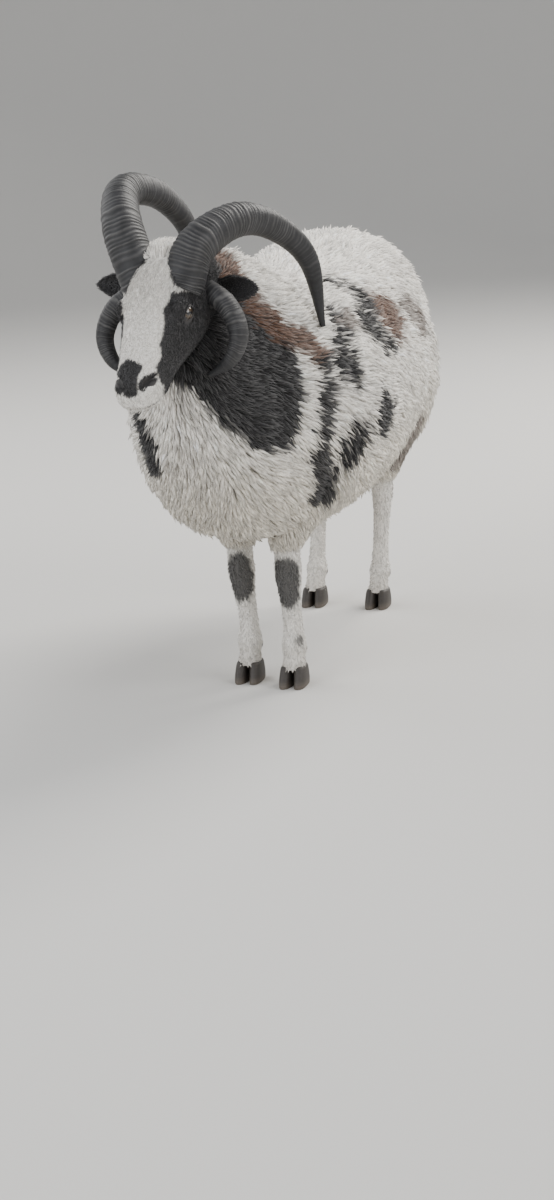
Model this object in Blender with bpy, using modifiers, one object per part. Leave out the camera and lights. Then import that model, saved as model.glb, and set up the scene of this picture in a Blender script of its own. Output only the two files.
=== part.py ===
"""A four-horned piebald ram of the Jacob breed, standing still, at life size.

The ram faces -Y with its left side at +X, and its hooves stand on Z = 0. The head, horns, ears and
eyes are modelled about a point between the ears and then turned with the head. The neck, torso and
tail each have a core under the fleece and rounded clumps of wool that are rooted in it and reach the
tips of the fleece. Lengths are in metres and angles in degrees.
"""

import math
import random
from dataclasses import dataclass

import bmesh
import bpy
from mathutils import Matrix, Vector
from mathutils.bvhtree import BVHTree

# Clearances between neighbouring solids
GAP = 0.0003
SOCKET_GAP = 0.0005

# Stance: where each foot stands, as (left of the middle, behind the middle)
FOOT = {
    "front_left": (0.056, -0.292),
    "front_right": (-0.030, -0.268),
    "hind_left": (0.074, 0.258),
    "hind_right": (-0.056, 0.268),
}
HOOF_HEIGHT = 0.034
HOOF_LENGTH = 0.062
HOOF_WIDTH = 0.046

# Head: the point between the ears, the turn to the ram's right, and the slope of the face
HEAD_POINT = Vector((-0.030, -0.556, 0.706))
HEAD_TURN = -5.0
FACE_TOP = Vector((0.0, -0.045, 0.047))
FACE_SLOPE = 53.5
FACE_LENGTH = 0.232

# Eyes and ears, measured from the head point as (left, back, up)
EYE_RADIUS = 0.0135
EYE_PLACE = Vector((0.0465, -0.060, -0.032))
ORBIT_SIZE = (0.0165, 0.0225, 0.0285)

# Muzzle: places along the face, and the offset and radius of each lip
HEAD_SQUARENESS = 2.35
MOUTH_CORNER = 0.172
MOUTH_FRONT = 0.226
MOUTH_WIDTH = 0.0017
UPPER_LIP = (-0.0042, 0.0036)
LOWER_LIP = (0.0046, 0.0040)
NOSTRIL_PLACE = (0.210, 0.022)
NOSTRIL_SIZE = (0.0066, 0.0048, 0.0128)
NOSTRIL_SLANT = 35.0
NOSTRIL_SPLAY = 25.0

# Ears
EAR_LENGTH = 0.092
EAR_WIDTH = 0.042
EAR_THICKNESS = 0.0032

# Horns
UPPER_HORN_RADIUS = 0.0365
LOWER_HORN_RADIUS = 0.0185
HORN_FLATTENING = 0.90
RIDGE_HEIGHT = 0.035

# Legs: how far the top of each front leg stands out from its foot, and the dewclaws
FRONT_LEG_SPLAY = {"front_left": 0.0, "front_right": -0.007}
DEWCLAW_SIZE = (0.0065, 0.0075, 0.0105)

# Cut between neck and torso: a slanted plane through the shoulder
NECK_CUT_POINT = Vector((0.0, -0.300, 0.520))
NECK_CUT_LEAN = 24.0

# Fleece: how deep the core lies under the tips on the back and on the tail, and a full clump's size
COAT_DEPTH = 0.024
TAIL_COAT_DEPTH = 0.011
CLUMP_LENGTH = 0.160
CLUMP_WIDTH = 0.136
CLUMP_THICKNESS = 0.078
CLUMP_TAPER = 0.22
CLUMP_TILT = 8.0
LIE_SPREAD = 14.0
TRUNK_CLUMPS = 92
TAIL_CLUMPS = 8
CLUMP_SEED = 11
FLEECE_SOLVER = "EXACT"

# Colours of the materials: base colour and roughness
COLOURS = {
    "white fleece": ((0.80, 0.77, 0.70), 0.95),
    "face hair": ((0.10, 0.085, 0.08), 0.80),
    "leg hair": ((0.74, 0.72, 0.68), 0.85),
    "horn": ((0.17, 0.16, 0.155), 0.50),
    "hoof": ((0.12, 0.10, 0.09), 0.55),
    "eye": ((0.28, 0.19, 0.08), 0.10),
    "bare skin": ((0.66, 0.47, 0.44), 0.60),
}


@dataclass
class Section:
    """One cross-section of a loft: where it lies, how it leans, and its half sizes."""

    at: Vector
    lean: float
    turn: float
    wide: float
    up: float
    down: float
    coat: float = 0.0


@dataclass
class Root:
    """Where a clump of wool grows: a point of the tips' outline, the way out, its lie and its scale."""

    point: Vector
    out: Vector
    lie: Vector
    scale: float


def clear_scene():
    """Removes the objects that a new scene starts with."""
    for item in list(bpy.data.objects):
        bpy.data.objects.remove(item, do_unlink=True)


def new_collection(name):
    collection = bpy.data.collections.new(name)
    bpy.context.scene.collection.children.link(collection)
    return collection


def make_material(name):
    colour, roughness = COLOURS[name]
    material = bpy.data.materials.new(name)
    material.use_nodes = True
    shader = material.node_tree.nodes["Principled BSDF"]
    shader.inputs["Base Color"].default_value = (*colour, 1.0)
    shader.inputs["Roughness"].default_value = roughness
    shader.inputs["Metallic"].default_value = 0.0
    material.diffuse_color = (*colour, 1.0)
    return material


def object_from(bm, name, collection):
    """Turns a closed bmesh into an object of triangles that point out."""
    bmesh.ops.recalc_face_normals(bm, faces=bm.faces)
    bmesh.ops.triangulate(bm, faces=bm.faces)
    mesh = bpy.data.meshes.new(name)
    bm.to_mesh(mesh)
    bm.free()
    item = bpy.data.objects.new(name, mesh)
    collection.objects.link(item)
    return item


def smooth_value(values, position):
    """Reads a list of numbers or vectors at a place from 0 to 1, along a smooth curve."""
    last = len(values) - 1
    scaled = min(max(position, 0.0), 1.0) * last
    index = min(int(scaled), last - 1)
    t = scaled - index
    before = values[index - 1] if index > 0 else values[index] * 2 - values[index + 1]
    after = values[index + 2] if index + 2 <= last else values[index + 1] * 2 - values[index]
    here, there = values[index], values[index + 1]
    slope_here = (there - before) * 0.5
    slope_there = (after - here) * 0.5
    return (
        here * (2 * t**3 - 3 * t**2 + 1)
        + slope_here * (t**3 - 2 * t**2 + t)
        + there * (-2 * t**3 + 3 * t**2)
        + slope_there * (t**3 - t**2)
    )


def section_at(sections, position):
    """Reads a loft's section at a place from 0 to 1 along it."""
    return Section(
        smooth_value([s.at for s in sections], position),
        smooth_value([s.lean for s in sections], position),
        smooth_value([s.turn for s in sections], position),
        smooth_value([s.wide for s in sections], position),
        smooth_value([s.up for s in sections], position),
        smooth_value([s.down for s in sections], position),
        smooth_value([s.coat for s in sections], position),
    )


def section_point(section, angle, squareness=2.3, grow=0.0):
    """A point on a section's outline: angle 0 is the ram's left and 90 is the top."""
    across = math.cos(math.radians(angle))
    along = math.sin(math.radians(angle))
    power = 2.0 / squareness
    x = math.copysign(abs(across) ** power, across) * (section.wide + grow)
    height = section.up if along > 0 else section.down
    z = math.copysign(abs(along) ** power, along) * (height + grow)
    frame = Matrix.Rotation(math.radians(section.turn), 3, "Z") @ Matrix.Rotation(
        math.radians(section.lean), 3, "X"
    )
    return section.at + frame @ Vector((x, 0.0, z))


def loft(name, sections, steps, sides, collection, squareness=2.3, grow=0.0):
    """Skins a run of sections, with a flat cap on each end."""
    bm = bmesh.new()
    rings = []
    for step in range(steps + 1):
        section = section_at(sections, step / steps)
        ring = [
            bm.verts.new(section_point(section, 360.0 * k / sides, squareness, grow))
            for k in range(sides)
        ]
        rings.append(ring)
    for first, second in zip(rings, rings[1:]):
        for k in range(sides):
            bm.faces.new((first[k], first[(k + 1) % sides], second[(k + 1) % sides], second[k]))
    bm.faces.new(rings[0])
    bm.faces.new(rings[-1])
    return object_from(bm, name, collection)


def tube(name, route, radii, steps, sides, collection, flat=1.0, ridged=False):
    """Sweeps a round or oval ring along a route, keeping it from twisting; every second ring is a ridge."""
    bm = bmesh.new()
    rings = []
    reference = Vector((0.0, 1.0, 0.0))
    for step in range(steps + 1):
        t = step / steps
        here = smooth_value(route, t)
        ahead = smooth_value(route, min(t + 0.01, 1.0)) - smooth_value(route, max(t - 0.01, 0.0))
        ahead.normalize()
        side = reference - ahead * reference.dot(ahead)
        side.normalize()
        reference = side
        other = ahead.cross(side)
        radius = smooth_value(radii, t)
        if ridged:
            radius *= 1.0 + RIDGE_HEIGHT * (-1.0) ** step
        ring = []
        for k in range(sides):
            turn = 2.0 * math.pi * k / sides
            ring.append(
                bm.verts.new(here + side * radius * math.cos(turn) + other * radius * flat * math.sin(turn))
            )
        rings.append(ring)
    for first, second in zip(rings, rings[1:]):
        for k in range(sides):
            bm.faces.new((first[k], first[(k + 1) % sides], second[(k + 1) % sides], second[k]))
    bm.faces.new(rings[0])
    bm.faces.new(rings[-1])
    return object_from(bm, name, collection)


def ball(name, centre, size, turn, collection, segments=14, rings=9):
    """An ellipsoid with three half sizes, turned and put in place."""
    bm = bmesh.new()
    place = Matrix.Translation(centre) @ turn.to_4x4() @ Matrix.Diagonal((*size, 1.0))
    bmesh.ops.create_uvsphere(bm, u_segments=segments, v_segments=rings, radius=1.0, matrix=place)
    return object_from(bm, name, collection)


def apply_boolean(item, operation, others, solver="EXACT"):
    """Joins or cuts an object with the objects of a temporary collection, which then go."""
    group = bpy.data.collections.new("group")
    for other in others:
        for holder in list(other.users_collection):
            holder.objects.unlink(other)
        group.objects.link(other)
    bpy.context.scene.collection.children.link(group)
    modifier = item.modifiers.new("boolean", "BOOLEAN")
    modifier.operation = operation
    modifier.operand_type = "COLLECTION"
    modifier.collection = group
    modifier.solver = solver
    bpy.context.view_layer.update()
    evaluated = item.evaluated_get(bpy.context.evaluated_depsgraph_get())
    mesh = bpy.data.meshes.new_from_object(evaluated)
    item.modifiers.clear()
    item.data = mesh
    for other in others:
        bpy.data.objects.remove(other, do_unlink=True)
    bpy.data.collections.remove(group)
    keep_largest(item)
    return item


def swollen(item, amount, collection):
    """A copy of a solid with its surface moved outwards."""
    bm = bmesh.new()
    bm.from_mesh(item.data)
    bm.normal_update()
    moved = [(vert, vert.co + vert.normal * amount) for vert in bm.verts]
    for vert, place in moved:
        vert.co = place
    return object_from(bm, "swollen", collection)


def cut_clear(item, others, collection):
    """Cuts an object clear of its neighbours, so that they meet with a thin gap."""
    for other in others:
        apply_boolean(item, "DIFFERENCE", [swollen(other, SOCKET_GAP, collection)])


def keep_largest(item):
    """Drops every loose scrap and sealed pocket, so that one closed surface is left."""
    bm = bmesh.new()
    bm.from_mesh(item.data)
    bmesh.ops.remove_doubles(bm, verts=bm.verts, dist=1e-6)
    bmesh.ops.dissolve_degenerate(bm, edges=bm.edges, dist=1e-6)
    unseen = set(bm.verts)
    islands = []
    while unseen:
        start = unseen.pop()
        island = {start}
        front = [start]
        while front:
            vert = front.pop()
            for edge in vert.link_edges:
                other = edge.other_vert(vert)
                if other in unseen:
                    unseen.discard(other)
                    island.add(other)
                    front.append(other)
        islands.append(island)
    largest = max(islands, key=lambda island: spread(island))
    scraps = [vert for island in islands if island is not largest for vert in island]
    bmesh.ops.delete(bm, geom=scraps, context="VERTS")
    bmesh.ops.triangulate(bm, faces=bm.faces)
    bm.to_mesh(item.data)
    bm.free()


def spread(island):
    """The diagonal of the box round some vertices."""
    low = [min(vert.co[axis] for vert in island) for axis in range(3)]
    high = [max(vert.co[axis] for vert in island) for axis in range(3)]
    return (Vector(high) - Vector(low)).length


def half_space(point, normal, collection):
    """A block far larger than the ram, all on the side of a plane that the normal points to."""
    bm = bmesh.new()
    turn = Vector((0.0, 0.0, 1.0)).rotation_difference(normal).to_matrix().to_4x4()
    place = Matrix.Translation(point + normal) @ turn
    bmesh.ops.create_cube(bm, size=2.0, matrix=place)
    return object_from(bm, "half_space", collection)


def mirrored(point, side):
    """A point measured on the left, taken to either side: side is 1 for left and -1 for right."""
    return Vector((point[0] * side, point[1], point[2]))


def head_place():
    return Matrix.Translation(HEAD_POINT) @ Matrix.Rotation(math.radians(HEAD_TURN), 4, "Z")


def to_head(item):
    """Takes an object from the head's own frame to its place on the ram."""
    item.data.transform(head_place())
    return item


def face_point(along, depth, across=0.0):
    """A point of the head by its distance down the face, its depth under the profile, and its side."""
    slope = math.radians(FACE_SLOPE)
    down_face = Vector((0.0, -math.cos(slope), -math.sin(slope)))
    into_face = Vector((0.0, math.sin(slope), -math.cos(slope)))
    return FACE_TOP + down_face * along + into_face * depth + Vector((across, 0.0, 0.0))


def head_sections():
    """The head's sections, from the back of the skull to the lips."""
    profile = [
        # along the face, top, bottom, half width
        (-0.052, 0.045, 0.100, 0.036),
        (-0.034, 0.020, 0.126, 0.055),
        (0.000, 0.002, 0.140, 0.064),
        (0.038, 0.000, 0.141, 0.065),
        (0.075, 0.000, 0.131, 0.060),
        (0.106, -0.002, 0.115, 0.051),
        (0.136, -0.003, 0.099, 0.044),
        (0.166, -0.001, 0.085, 0.039),
        (0.190, 0.002, 0.074, 0.037),
        (0.210, 0.008, 0.064, 0.035),
        (0.224, 0.019, 0.052, 0.028),
        (FACE_LENGTH, 0.030, 0.042, 0.015),
    ]
    sections = []
    for along, top, bottom, wide in profile:
        middle = 0.5 * (top + bottom)
        half = 0.5 * (bottom - top)
        sections.append(
            Section(face_point(along, middle), FACE_SLOPE, 0.0, wide, half, half)
        )
    return sections


def head_hollow(collection):
    """The skull's own form, a thin gap larger, to cut what grows from it or wraps it."""
    return to_head(loft("hollow", head_sections(), 22, 18, collection, HEAD_SQUARENESS, SOCKET_GAP))


def make_head(collection):
    """The head, with lids round the eyes, the line of the mouth, lips and nostrils."""
    head = loft("head", head_sections(), 22, 18, collection, HEAD_SQUARENESS)
    joined = []
    for side in (1, -1):
        turn = Matrix.Rotation(math.radians(FACE_SLOPE), 3, "X")
        middle = mirrored(EYE_PLACE - Vector((0.003, 0.0, 0.0)), side)
        joined.append(ball("orbit", middle, ORBIT_SIZE, turn, collection))
    for offset, radius in (UPPER_LIP, LOWER_LIP):
        joined.append(mouth_roll("lip", offset, radius, collection))
    apply_boolean(head, "UNION", joined)
    cutters = []
    for side in (1, -1):
        eye = mirrored(EYE_PLACE, side)
        socket = ball("socket", eye, (EYE_RADIUS + SOCKET_GAP,) * 3, Matrix.Identity(3), collection)
        cutters.append(apply_boolean(socket, "UNION", [lid_opening(side, collection)]))
        cutters.append(nostril(side, collection))
    cutters.append(mouth_roll("mouth", 0.0, MOUTH_WIDTH, collection))
    for cutter in cutters:
        apply_boolean(head, "DIFFERENCE", [cutter])
    return head


def muzzle_side(along, depth, side, proud=0.0):
    """A point on the muzzle's side at a place along the face and a depth under its profile."""
    sections = head_sections()
    steps = 200
    best = min(
        (section_at(sections, k / steps) for k in range(steps + 1)),
        key=lambda s: (s.at - face_point(along, depth)).dot(face_point(1, 0) - face_point(0, 0)) ** 2,
    )
    middle = best.up
    offset = (face_point(along, depth) - best.at).dot((face_point(0, -1) - face_point(0, 0)))
    share = max(-0.999, min(0.999, offset / middle))
    across = (1.0 - abs(share) ** HEAD_SQUARENESS) ** (1.0 / HEAD_SQUARENESS) * best.wide + proud
    return face_point(along, depth, across * side)


def mouth_roll(name, offset, radius, collection):
    """A thin round roll along the mouth, from one corner round the front of the lips to the other."""
    half = []
    for share in (0.0, 0.2, 0.4, 0.6, 0.8, 1.0):
        along = MOUTH_CORNER + (MOUTH_FRONT - MOUTH_CORNER) * share
        depth = 0.064 - 0.022 * share + offset * (1.0 - 0.35 * share)
        half.append((along, depth, -0.0035 * (1.0 - share) ** 3 - 0.0004))
    left = [muzzle_side(along, depth, 1, proud) for along, depth, proud in half]
    front = face_point(FACE_LENGTH + 0.001, 0.0385 + offset * 0.6)
    right = [muzzle_side(along, depth, -1, proud) for along, depth, proud in reversed(half)]
    radii = [0.3 * radius] + [radius] * 11 + [0.3 * radius]
    return tube(name, left + [front] + right, radii, 20, 5, collection)


def nostril(side, collection):
    """A slanting oval that cuts one nostril."""
    centre = muzzle_side(*NOSTRIL_PLACE, side, -0.0005)
    turn = Matrix.Rotation(math.radians(FACE_SLOPE + NOSTRIL_SLANT), 3, "X") @ Matrix.Rotation(
        math.radians(-NOSTRIL_SPLAY * side), 3, "Z"
    )
    return ball("nostril", centre, NOSTRIL_SIZE, turn, collection, 10, 8)


def lid_opening(side, collection):
    """The almond between the lids, cut outwards from the eye."""
    bm = bmesh.new()
    outline = []
    points = 10
    half_long, half_high = 0.0125, 0.0068
    for k in range(points):
        turn = 2.0 * math.pi * k / points
        across = math.sin(turn)
        outline.append((math.cos(turn) * half_long, math.copysign(abs(across) ** 1.3, across) * half_high))
    near, far = [], []
    slope = Matrix.Rotation(math.radians(FACE_SLOPE - 32.0), 3, "X")
    splay = Matrix.Rotation(math.radians(-14.0 * side), 3, "Z")
    eye = mirrored(EYE_PLACE, side)
    for along, high in outline:
        flat = splay @ (slope @ Vector((0.0, -along, high)))
        out = splay @ Vector((side, 0.0, 0.0))
        near.append(bm.verts.new(eye + flat * 0.55 + out * 0.004))
        far.append(bm.verts.new(eye + flat * 1.15 + out * 0.022))
    for k in range(points):
        bm.faces.new((near[k], near[(k + 1) % points], far[(k + 1) % points], far[k]))
    bm.faces.new(near)
    bm.faces.new(far)
    return object_from(bm, "lid_opening", collection)


def make_eye(side, name, collection):
    eye = mirrored(EYE_PLACE, side)
    return ball(f"eye_{name}", eye, (EYE_RADIUS,) * 3, Matrix.Identity(3), collection, 12, 8)


UPPER_HORN = {
    # left, back and up from the head point, root to tip
    "left": [
        Vector((0.033, -0.030, -0.006)),
        Vector((0.052, -0.002, 0.060)),
        Vector((0.082, 0.078, 0.093)),
        Vector((0.112, 0.160, 0.077)),
        Vector((0.144, 0.225, 0.018)),
        Vector((0.156, 0.246, -0.092)),
    ],
    "right": [
        Vector((-0.034, -0.024, -0.006)),
        Vector((-0.074, 0.000, 0.090)),
        Vector((-0.097, 0.070, 0.143)),
        Vector((-0.080, 0.165, 0.130)),
        Vector((-0.066, 0.238, 0.062)),
        Vector((-0.110, 0.258, -0.030)),
    ],
}
UPPER_HORN_TAPER = [1.0, 0.92, 0.77, 0.63, 0.48, 0.12]
LOWER_HORN = [
    Vector((0.036, 0.014, 0.006)),
    Vector((0.090, 0.000, -0.026)),
    Vector((0.112, -0.008, -0.070)),
    Vector((0.099, -0.014, -0.109)),
    Vector((0.064, -0.018, -0.133)),
]
LOWER_HORN_TAPER = [1.05, 1.0, 0.88, 0.68, 0.22]


def make_upper_horn(name, side, collection):
    radii = [UPPER_HORN_RADIUS * share for share in UPPER_HORN_TAPER]
    return tube(name, UPPER_HORN[side], radii, 30, 10, collection, HORN_FLATTENING, True)


def make_lower_horn(name, side, collection):
    route = [mirrored(point, side) for point in LOWER_HORN]
    radii = [LOWER_HORN_RADIUS * share for share in LOWER_HORN_TAPER]
    return tube(name, route, radii, 20, 8, collection, HORN_FLATTENING, True)


EAR = {
    # root and direction point, as left, back and up from the head point
    "left": (Vector((0.046, 0.050, -0.002)), Vector((0.132, 0.050, 0.006))),
    "right": (Vector((-0.046, 0.046, 0.000)), Vector((-0.134, 0.032, 0.010))),
}


def make_ear(name, collection):
    """A leaf rolled into a cup that opens forwards, thick as a real ear."""
    root, tip = EAR[name]
    side = 1 if name == "left" else -1
    name = f"ear_{name}"
    ahead = (tip - root).normalized()
    upward = (Vector((0.0, 0.25, 1.0)) - ahead * ahead.dot(Vector((0.0, 0.25, 1.0)))).normalized()
    facing = ahead.cross(upward) * side
    bm = bmesh.new()
    rows, columns = 8, 6
    grid = []
    for i in range(rows):
        t = i / (rows - 1)
        half = 0.5 * EAR_WIDTH * (0.42 + 2.35 * t * (1.0 - t) ** 0.85) if t < 1.0 else 0.0015
        cup = 1.0 - 0.75 * t
        row = []
        for j in range(columns):
            across = 2.0 * j / (columns - 1) - 1.0
            bend = math.radians(95.0) * cup * across
            spread_out = math.sin(bend) / max(math.radians(95.0) * cup, 0.2)
            sink = (1.0 - math.cos(bend)) / max(math.radians(95.0) * cup, 0.2)
            point = root + ahead * EAR_LENGTH * t + upward * half * spread_out + facing * half * sink
            row.append(bm.verts.new(point))
        grid.append(row)
    for first, second in zip(grid, grid[1:]):
        for j in range(columns - 1):
            bm.faces.new((first[j], first[j + 1], second[j + 1], second[j]))
    bmesh.ops.triangulate(bm, faces=bm.faces)
    mesh = bpy.data.meshes.new(name)
    bm.to_mesh(mesh)
    bm.free()
    ear = bpy.data.objects.new(name, mesh)
    collection.objects.link(ear)
    thick = ear.modifiers.new("thickness", "SOLIDIFY")
    thick.thickness = EAR_THICKNESS
    thick.offset = 0.0
    bpy.context.view_layer.update()
    evaluated = ear.evaluated_get(bpy.context.evaluated_depsgraph_get())
    solid = bpy.data.meshes.new_from_object(evaluated)
    ear.modifiers.clear()
    ear.data = solid
    return ear


def upright(x, y, z, wide, front, back, coat=0.0):
    """A section of a standing limb: its up half is the front and its down half is the back."""
    return Section(Vector((x, y, z)), 90.0, 0.0, wide, front, back, coat)


def front_leg_sections(corner):
    """A front leg, from inside the breast down to the top of the hoof."""
    x, y = FOOT[corner]
    splay = FRONT_LEG_SPLAY[corner]
    return [
        upright(x + splay, y - 0.002, 0.330, 0.030, 0.034, 0.036),
        upright(x + 0.85 * splay, y - 0.003, 0.272, 0.025, 0.029, 0.031),
        upright(x + 0.70 * splay, y - 0.004, 0.232, 0.0215, 0.026, 0.025),
        upright(x + 0.55 * splay, y - 0.004, 0.196, 0.0225, 0.027, 0.022),
        upright(x + 0.35 * splay, y - 0.002, 0.160, 0.0185, 0.021, 0.020),
        upright(x, y + 0.002, 0.125, 0.0160, 0.017, 0.018),
        upright(x, y + 0.006, 0.092, 0.0168, 0.018, 0.019),
        upright(x, y + 0.006, 0.070, 0.0205, 0.022, 0.023),
        upright(x, y + 0.003, 0.050, 0.0185, 0.020, 0.020),
        upright(x, y - 0.002, HOOF_HEIGHT + GAP, 0.0215, 0.025, 0.023),
    ]


def hind_leg_sections(corner):
    """A hind leg, from inside the haunch over the hock down to the top of the hoof."""
    x, y = FOOT[corner]
    return [
        upright(x * 1.14, y - 0.020, 0.370, 0.036, 0.060, 0.060),
        upright(x * 1.10, y + 0.020, 0.300, 0.026, 0.040, 0.040),
        upright(x * 1.06, y + 0.050, 0.250, 0.0205, 0.030, 0.030),
        upright(x * 1.04, y + 0.060, 0.215, 0.0200, 0.027, 0.027),
        upright(x * 1.02, y + 0.056, 0.180, 0.0165, 0.020, 0.021),
        upright(x, y + 0.044, 0.135, 0.0145, 0.0165, 0.0175),
        upright(x, y + 0.030, 0.092, 0.0155, 0.018, 0.018),
        upright(x, y + 0.022, 0.070, 0.0195, 0.021, 0.021),
        upright(x, y + 0.010, 0.050, 0.0175, 0.019, 0.019),
        upright(x, y - 0.002, HOOF_HEIGHT + GAP, 0.0205, 0.024, 0.022),
    ]


def leg_sections(corner):
    return front_leg_sections(corner) if corner.startswith("front") else hind_leg_sections(corner)


def make_leg(corner, collection):
    """One leg with its two dewclaws behind the fetlock."""
    leg = loft(f"leg_{corner}", leg_sections(corner), 16, 9, collection, 2.1)
    x, y = FOOT[corner]
    behind = 0.026 if corner.startswith("front") else 0.040
    claws = []
    for side in (1, -1):
        centre = Vector((x + 0.0105 * side, y + behind, 0.058))
        turn = Matrix.Rotation(math.radians(-25.0), 3, "X")
        claws.append(ball("dewclaw", centre, DEWCLAW_SIZE, turn, collection, 7, 5))
    return apply_boolean(leg, "UNION", claws)


def make_hoof(corner, collection):
    """A cloven hoof: two claws with flat soles, joined at the back under the pastern."""
    x, y = FOOT[corner]
    bm = bmesh.new()
    rings = []
    levels = (
        # height, half width, toe reach, heel reach
        (0.0, 0.50 * HOOF_WIDTH, 0.62 * HOOF_LENGTH, 0.38 * HOOF_LENGTH),
        (0.35 * HOOF_HEIGHT, 0.50 * HOOF_WIDTH, 0.58 * HOOF_LENGTH, 0.39 * HOOF_LENGTH),
        (0.70 * HOOF_HEIGHT, 0.48 * HOOF_WIDTH, 0.50 * HOOF_LENGTH, 0.40 * HOOF_LENGTH),
        (HOOF_HEIGHT, 0.45 * HOOF_WIDTH, 0.41 * HOOF_LENGTH, 0.36 * HOOF_LENGTH),
    )
    sides = 16
    for height, half, toe, heel in levels:
        section = upright(x, y, height, half, toe, heel)
        rings.append([bm.verts.new(section_point(section, 360.0 * k / sides, 2.5)) for k in range(sides)])
    for first, second in zip(rings, rings[1:]):
        for k in range(sides):
            bm.faces.new((first[k], first[(k + 1) % sides], second[(k + 1) % sides], second[k]))
    bm.faces.new(rings[0])
    bm.faces.new(rings[-1])
    hoof = object_from(bm, f"hoof_{corner}", collection)
    cleft = cleft_cutter(x, y, collection)
    return apply_boolean(hoof, "DIFFERENCE", [cleft])


def cleft_cutter(x, y, collection):
    """A wedge that parts the two claws in front, wider at the toes."""
    bm = bmesh.new()
    top = HOOF_HEIGHT * 0.86
    toe, root = -0.80 * HOOF_LENGTH, 0.10 * HOOF_LENGTH
    corners = []
    for z in (-0.01, top):
        for along, half in ((toe, 0.0046), (root, 0.0008)):
            for side in (-1, 1):
                corners.append(bm.verts.new((x + half * side, y + along, z)))
    bmesh.ops.convex_hull(bm, input=corners)
    return object_from(bm, "cleft", collection)


def trunk_sections():
    """Torso and neck as one form out to the tips of the fleece, from the buttocks to behind the ears."""
    barrel = [
        # back from the middle, half width, top, bottom
        (0.438, 0.050, 0.635, 0.500),
        (0.421, 0.108, 0.682, 0.430),
        (0.373, 0.162, 0.714, 0.362),
        (0.296, 0.188, 0.724, 0.318),
        (0.196, 0.202, 0.720, 0.288),
        (0.076, 0.210, 0.706, 0.270),
        (-0.052, 0.214, 0.696, 0.258),
    ]
    sections = []
    for y, wide, top, bottom in barrel:
        middle = bottom + 0.46 * (top - bottom)
        place = Vector((0.0, y, middle))
        sections.append(Section(place, 0.0, 0.0, wide, top - middle, middle - bottom, COAT_DEPTH))
    neck = [
        # right of the middle, front, height, lean, turn, half width, up, down, share of the coat
        (0.000, 0.160, 0.460, 3.0, 0.0, 0.212, 0.234, 0.206, 1.0),
        (0.000, 0.250, 0.472, 8.0, 0.0, 0.201, 0.224, 0.214, 1.0),
        (0.004, 0.330, 0.500, 16.0, 0.0, 0.178, 0.212, 0.226, 1.0),
        (0.012, 0.398, 0.546, 25.0, 0.0, 0.148, 0.197, 0.218, 1.0),
        (0.020, 0.454, 0.596, 34.0, 2.0, 0.117, 0.180, 0.186, 0.9),
        (0.026, 0.502, 0.643, 42.0, 4.0, 0.091, 0.143, 0.122, 0.7),
        (0.030, 0.538, 0.680, 50.0, 5.0, 0.066, 0.092, 0.074, 0.5),
    ]
    for right, front, height, lean, turn, wide, up, down, share in neck:
        place = Vector((-right, -front, height))
        sections.append(Section(place, -lean, -turn, wide, up, down, COAT_DEPTH * share))
    return sections


def haunch_sections(side, foot):
    """The woolled thigh, from the hip down to above the hock."""
    return [
        upright(0.100 * side, 0.265, 0.640, 0.048, 0.050, 0.060, COAT_DEPTH),
        upright(0.114 * side, 0.275, 0.545, 0.074, 0.100, 0.125, COAT_DEPTH),
        upright(0.119 * side, 0.281, 0.450, 0.078, 0.110, 0.134, COAT_DEPTH),
        upright(0.111 * side, 0.290, 0.365, 0.065, 0.086, 0.112, 0.8 * COAT_DEPTH),
        upright(foot[0] * 1.20, 0.304, 0.300, 0.046, 0.058, 0.070, 0.45 * COAT_DEPTH),
        upright(foot[0] * 1.07, foot[1] + 0.046, 0.248, 0.0285, 0.038, 0.036, 0.15 * COAT_DEPTH),
    ]


def shoulder_sections(side, corner):
    """The woolled shoulder and forearm, down to where the bare leg shows."""
    x, y = FOOT[corner]
    elbow = x + 0.8 * FRONT_LEG_SPLAY[corner]
    return [
        upright(0.100 * side, -0.250, 0.560, 0.050, 0.060, 0.060, COAT_DEPTH),
        upright(0.122 * side, -0.270, 0.460, 0.066, 0.090, 0.080, COAT_DEPTH),
        upright(0.100 * side + 0.012, -0.290, 0.350, 0.062, 0.080, 0.070, 0.8 * COAT_DEPTH),
        upright(elbow + 0.010 * side, y - 0.004, 0.280, 0.044, 0.050, 0.050, 0.4 * COAT_DEPTH),
        upright(elbow, y - 0.004, 0.246, 0.0285, 0.033, 0.034, 0.15 * COAT_DEPTH),
    ]


def limb_sections():
    """The four woolled limbs that grow from the trunk."""
    limbs = []
    for side, name in ((1, "left"), (-1, "right")):
        limbs.append(haunch_sections(side, FOOT[f"hind_{name}"]))
        limbs.append(shoulder_sections(side, f"front_{name}"))
    return limbs


def tail_sections():
    """The woolly tail out to its tips, hanging to above the hocks."""
    return [
        upright(0.0, 0.405, 0.640, 0.032, 0.028, 0.022),
        upright(0.0, 0.440, 0.612, 0.038, 0.024, 0.024, 0.2 * TAIL_COAT_DEPTH),
        upright(0.0, 0.458, 0.545, 0.042, 0.026, 0.026, TAIL_COAT_DEPTH),
        upright(0.0, 0.460, 0.470, 0.040, 0.026, 0.026, TAIL_COAT_DEPTH),
        upright(0.0, 0.455, 0.400, 0.033, 0.022, 0.022, TAIL_COAT_DEPTH),
        upright(0.0, 0.448, 0.345, 0.014, 0.012, 0.012, 0.5 * TAIL_COAT_DEPTH),
    ]


def core_of(sections):
    """The form under the coat: each section shrunk by its coat, and both ends drawn in."""
    core = []
    for s in sections:
        core.append(Section(s.at.copy(), s.lean, s.turn, s.wide - s.coat, s.up - s.coat, s.down - s.coat))
    for end, inner in ((0, 1), (-1, -2)):
        core[end].at += (sections[inner].at - sections[end].at).normalized() * sections[end].coat
    return core


def surface_tree(item):
    """A search tree over a solid's surface."""
    bm = bmesh.new()
    bm.from_mesh(item.data)
    tree = BVHTree.FromBMesh(bm)
    bm.free()
    return tree


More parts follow.
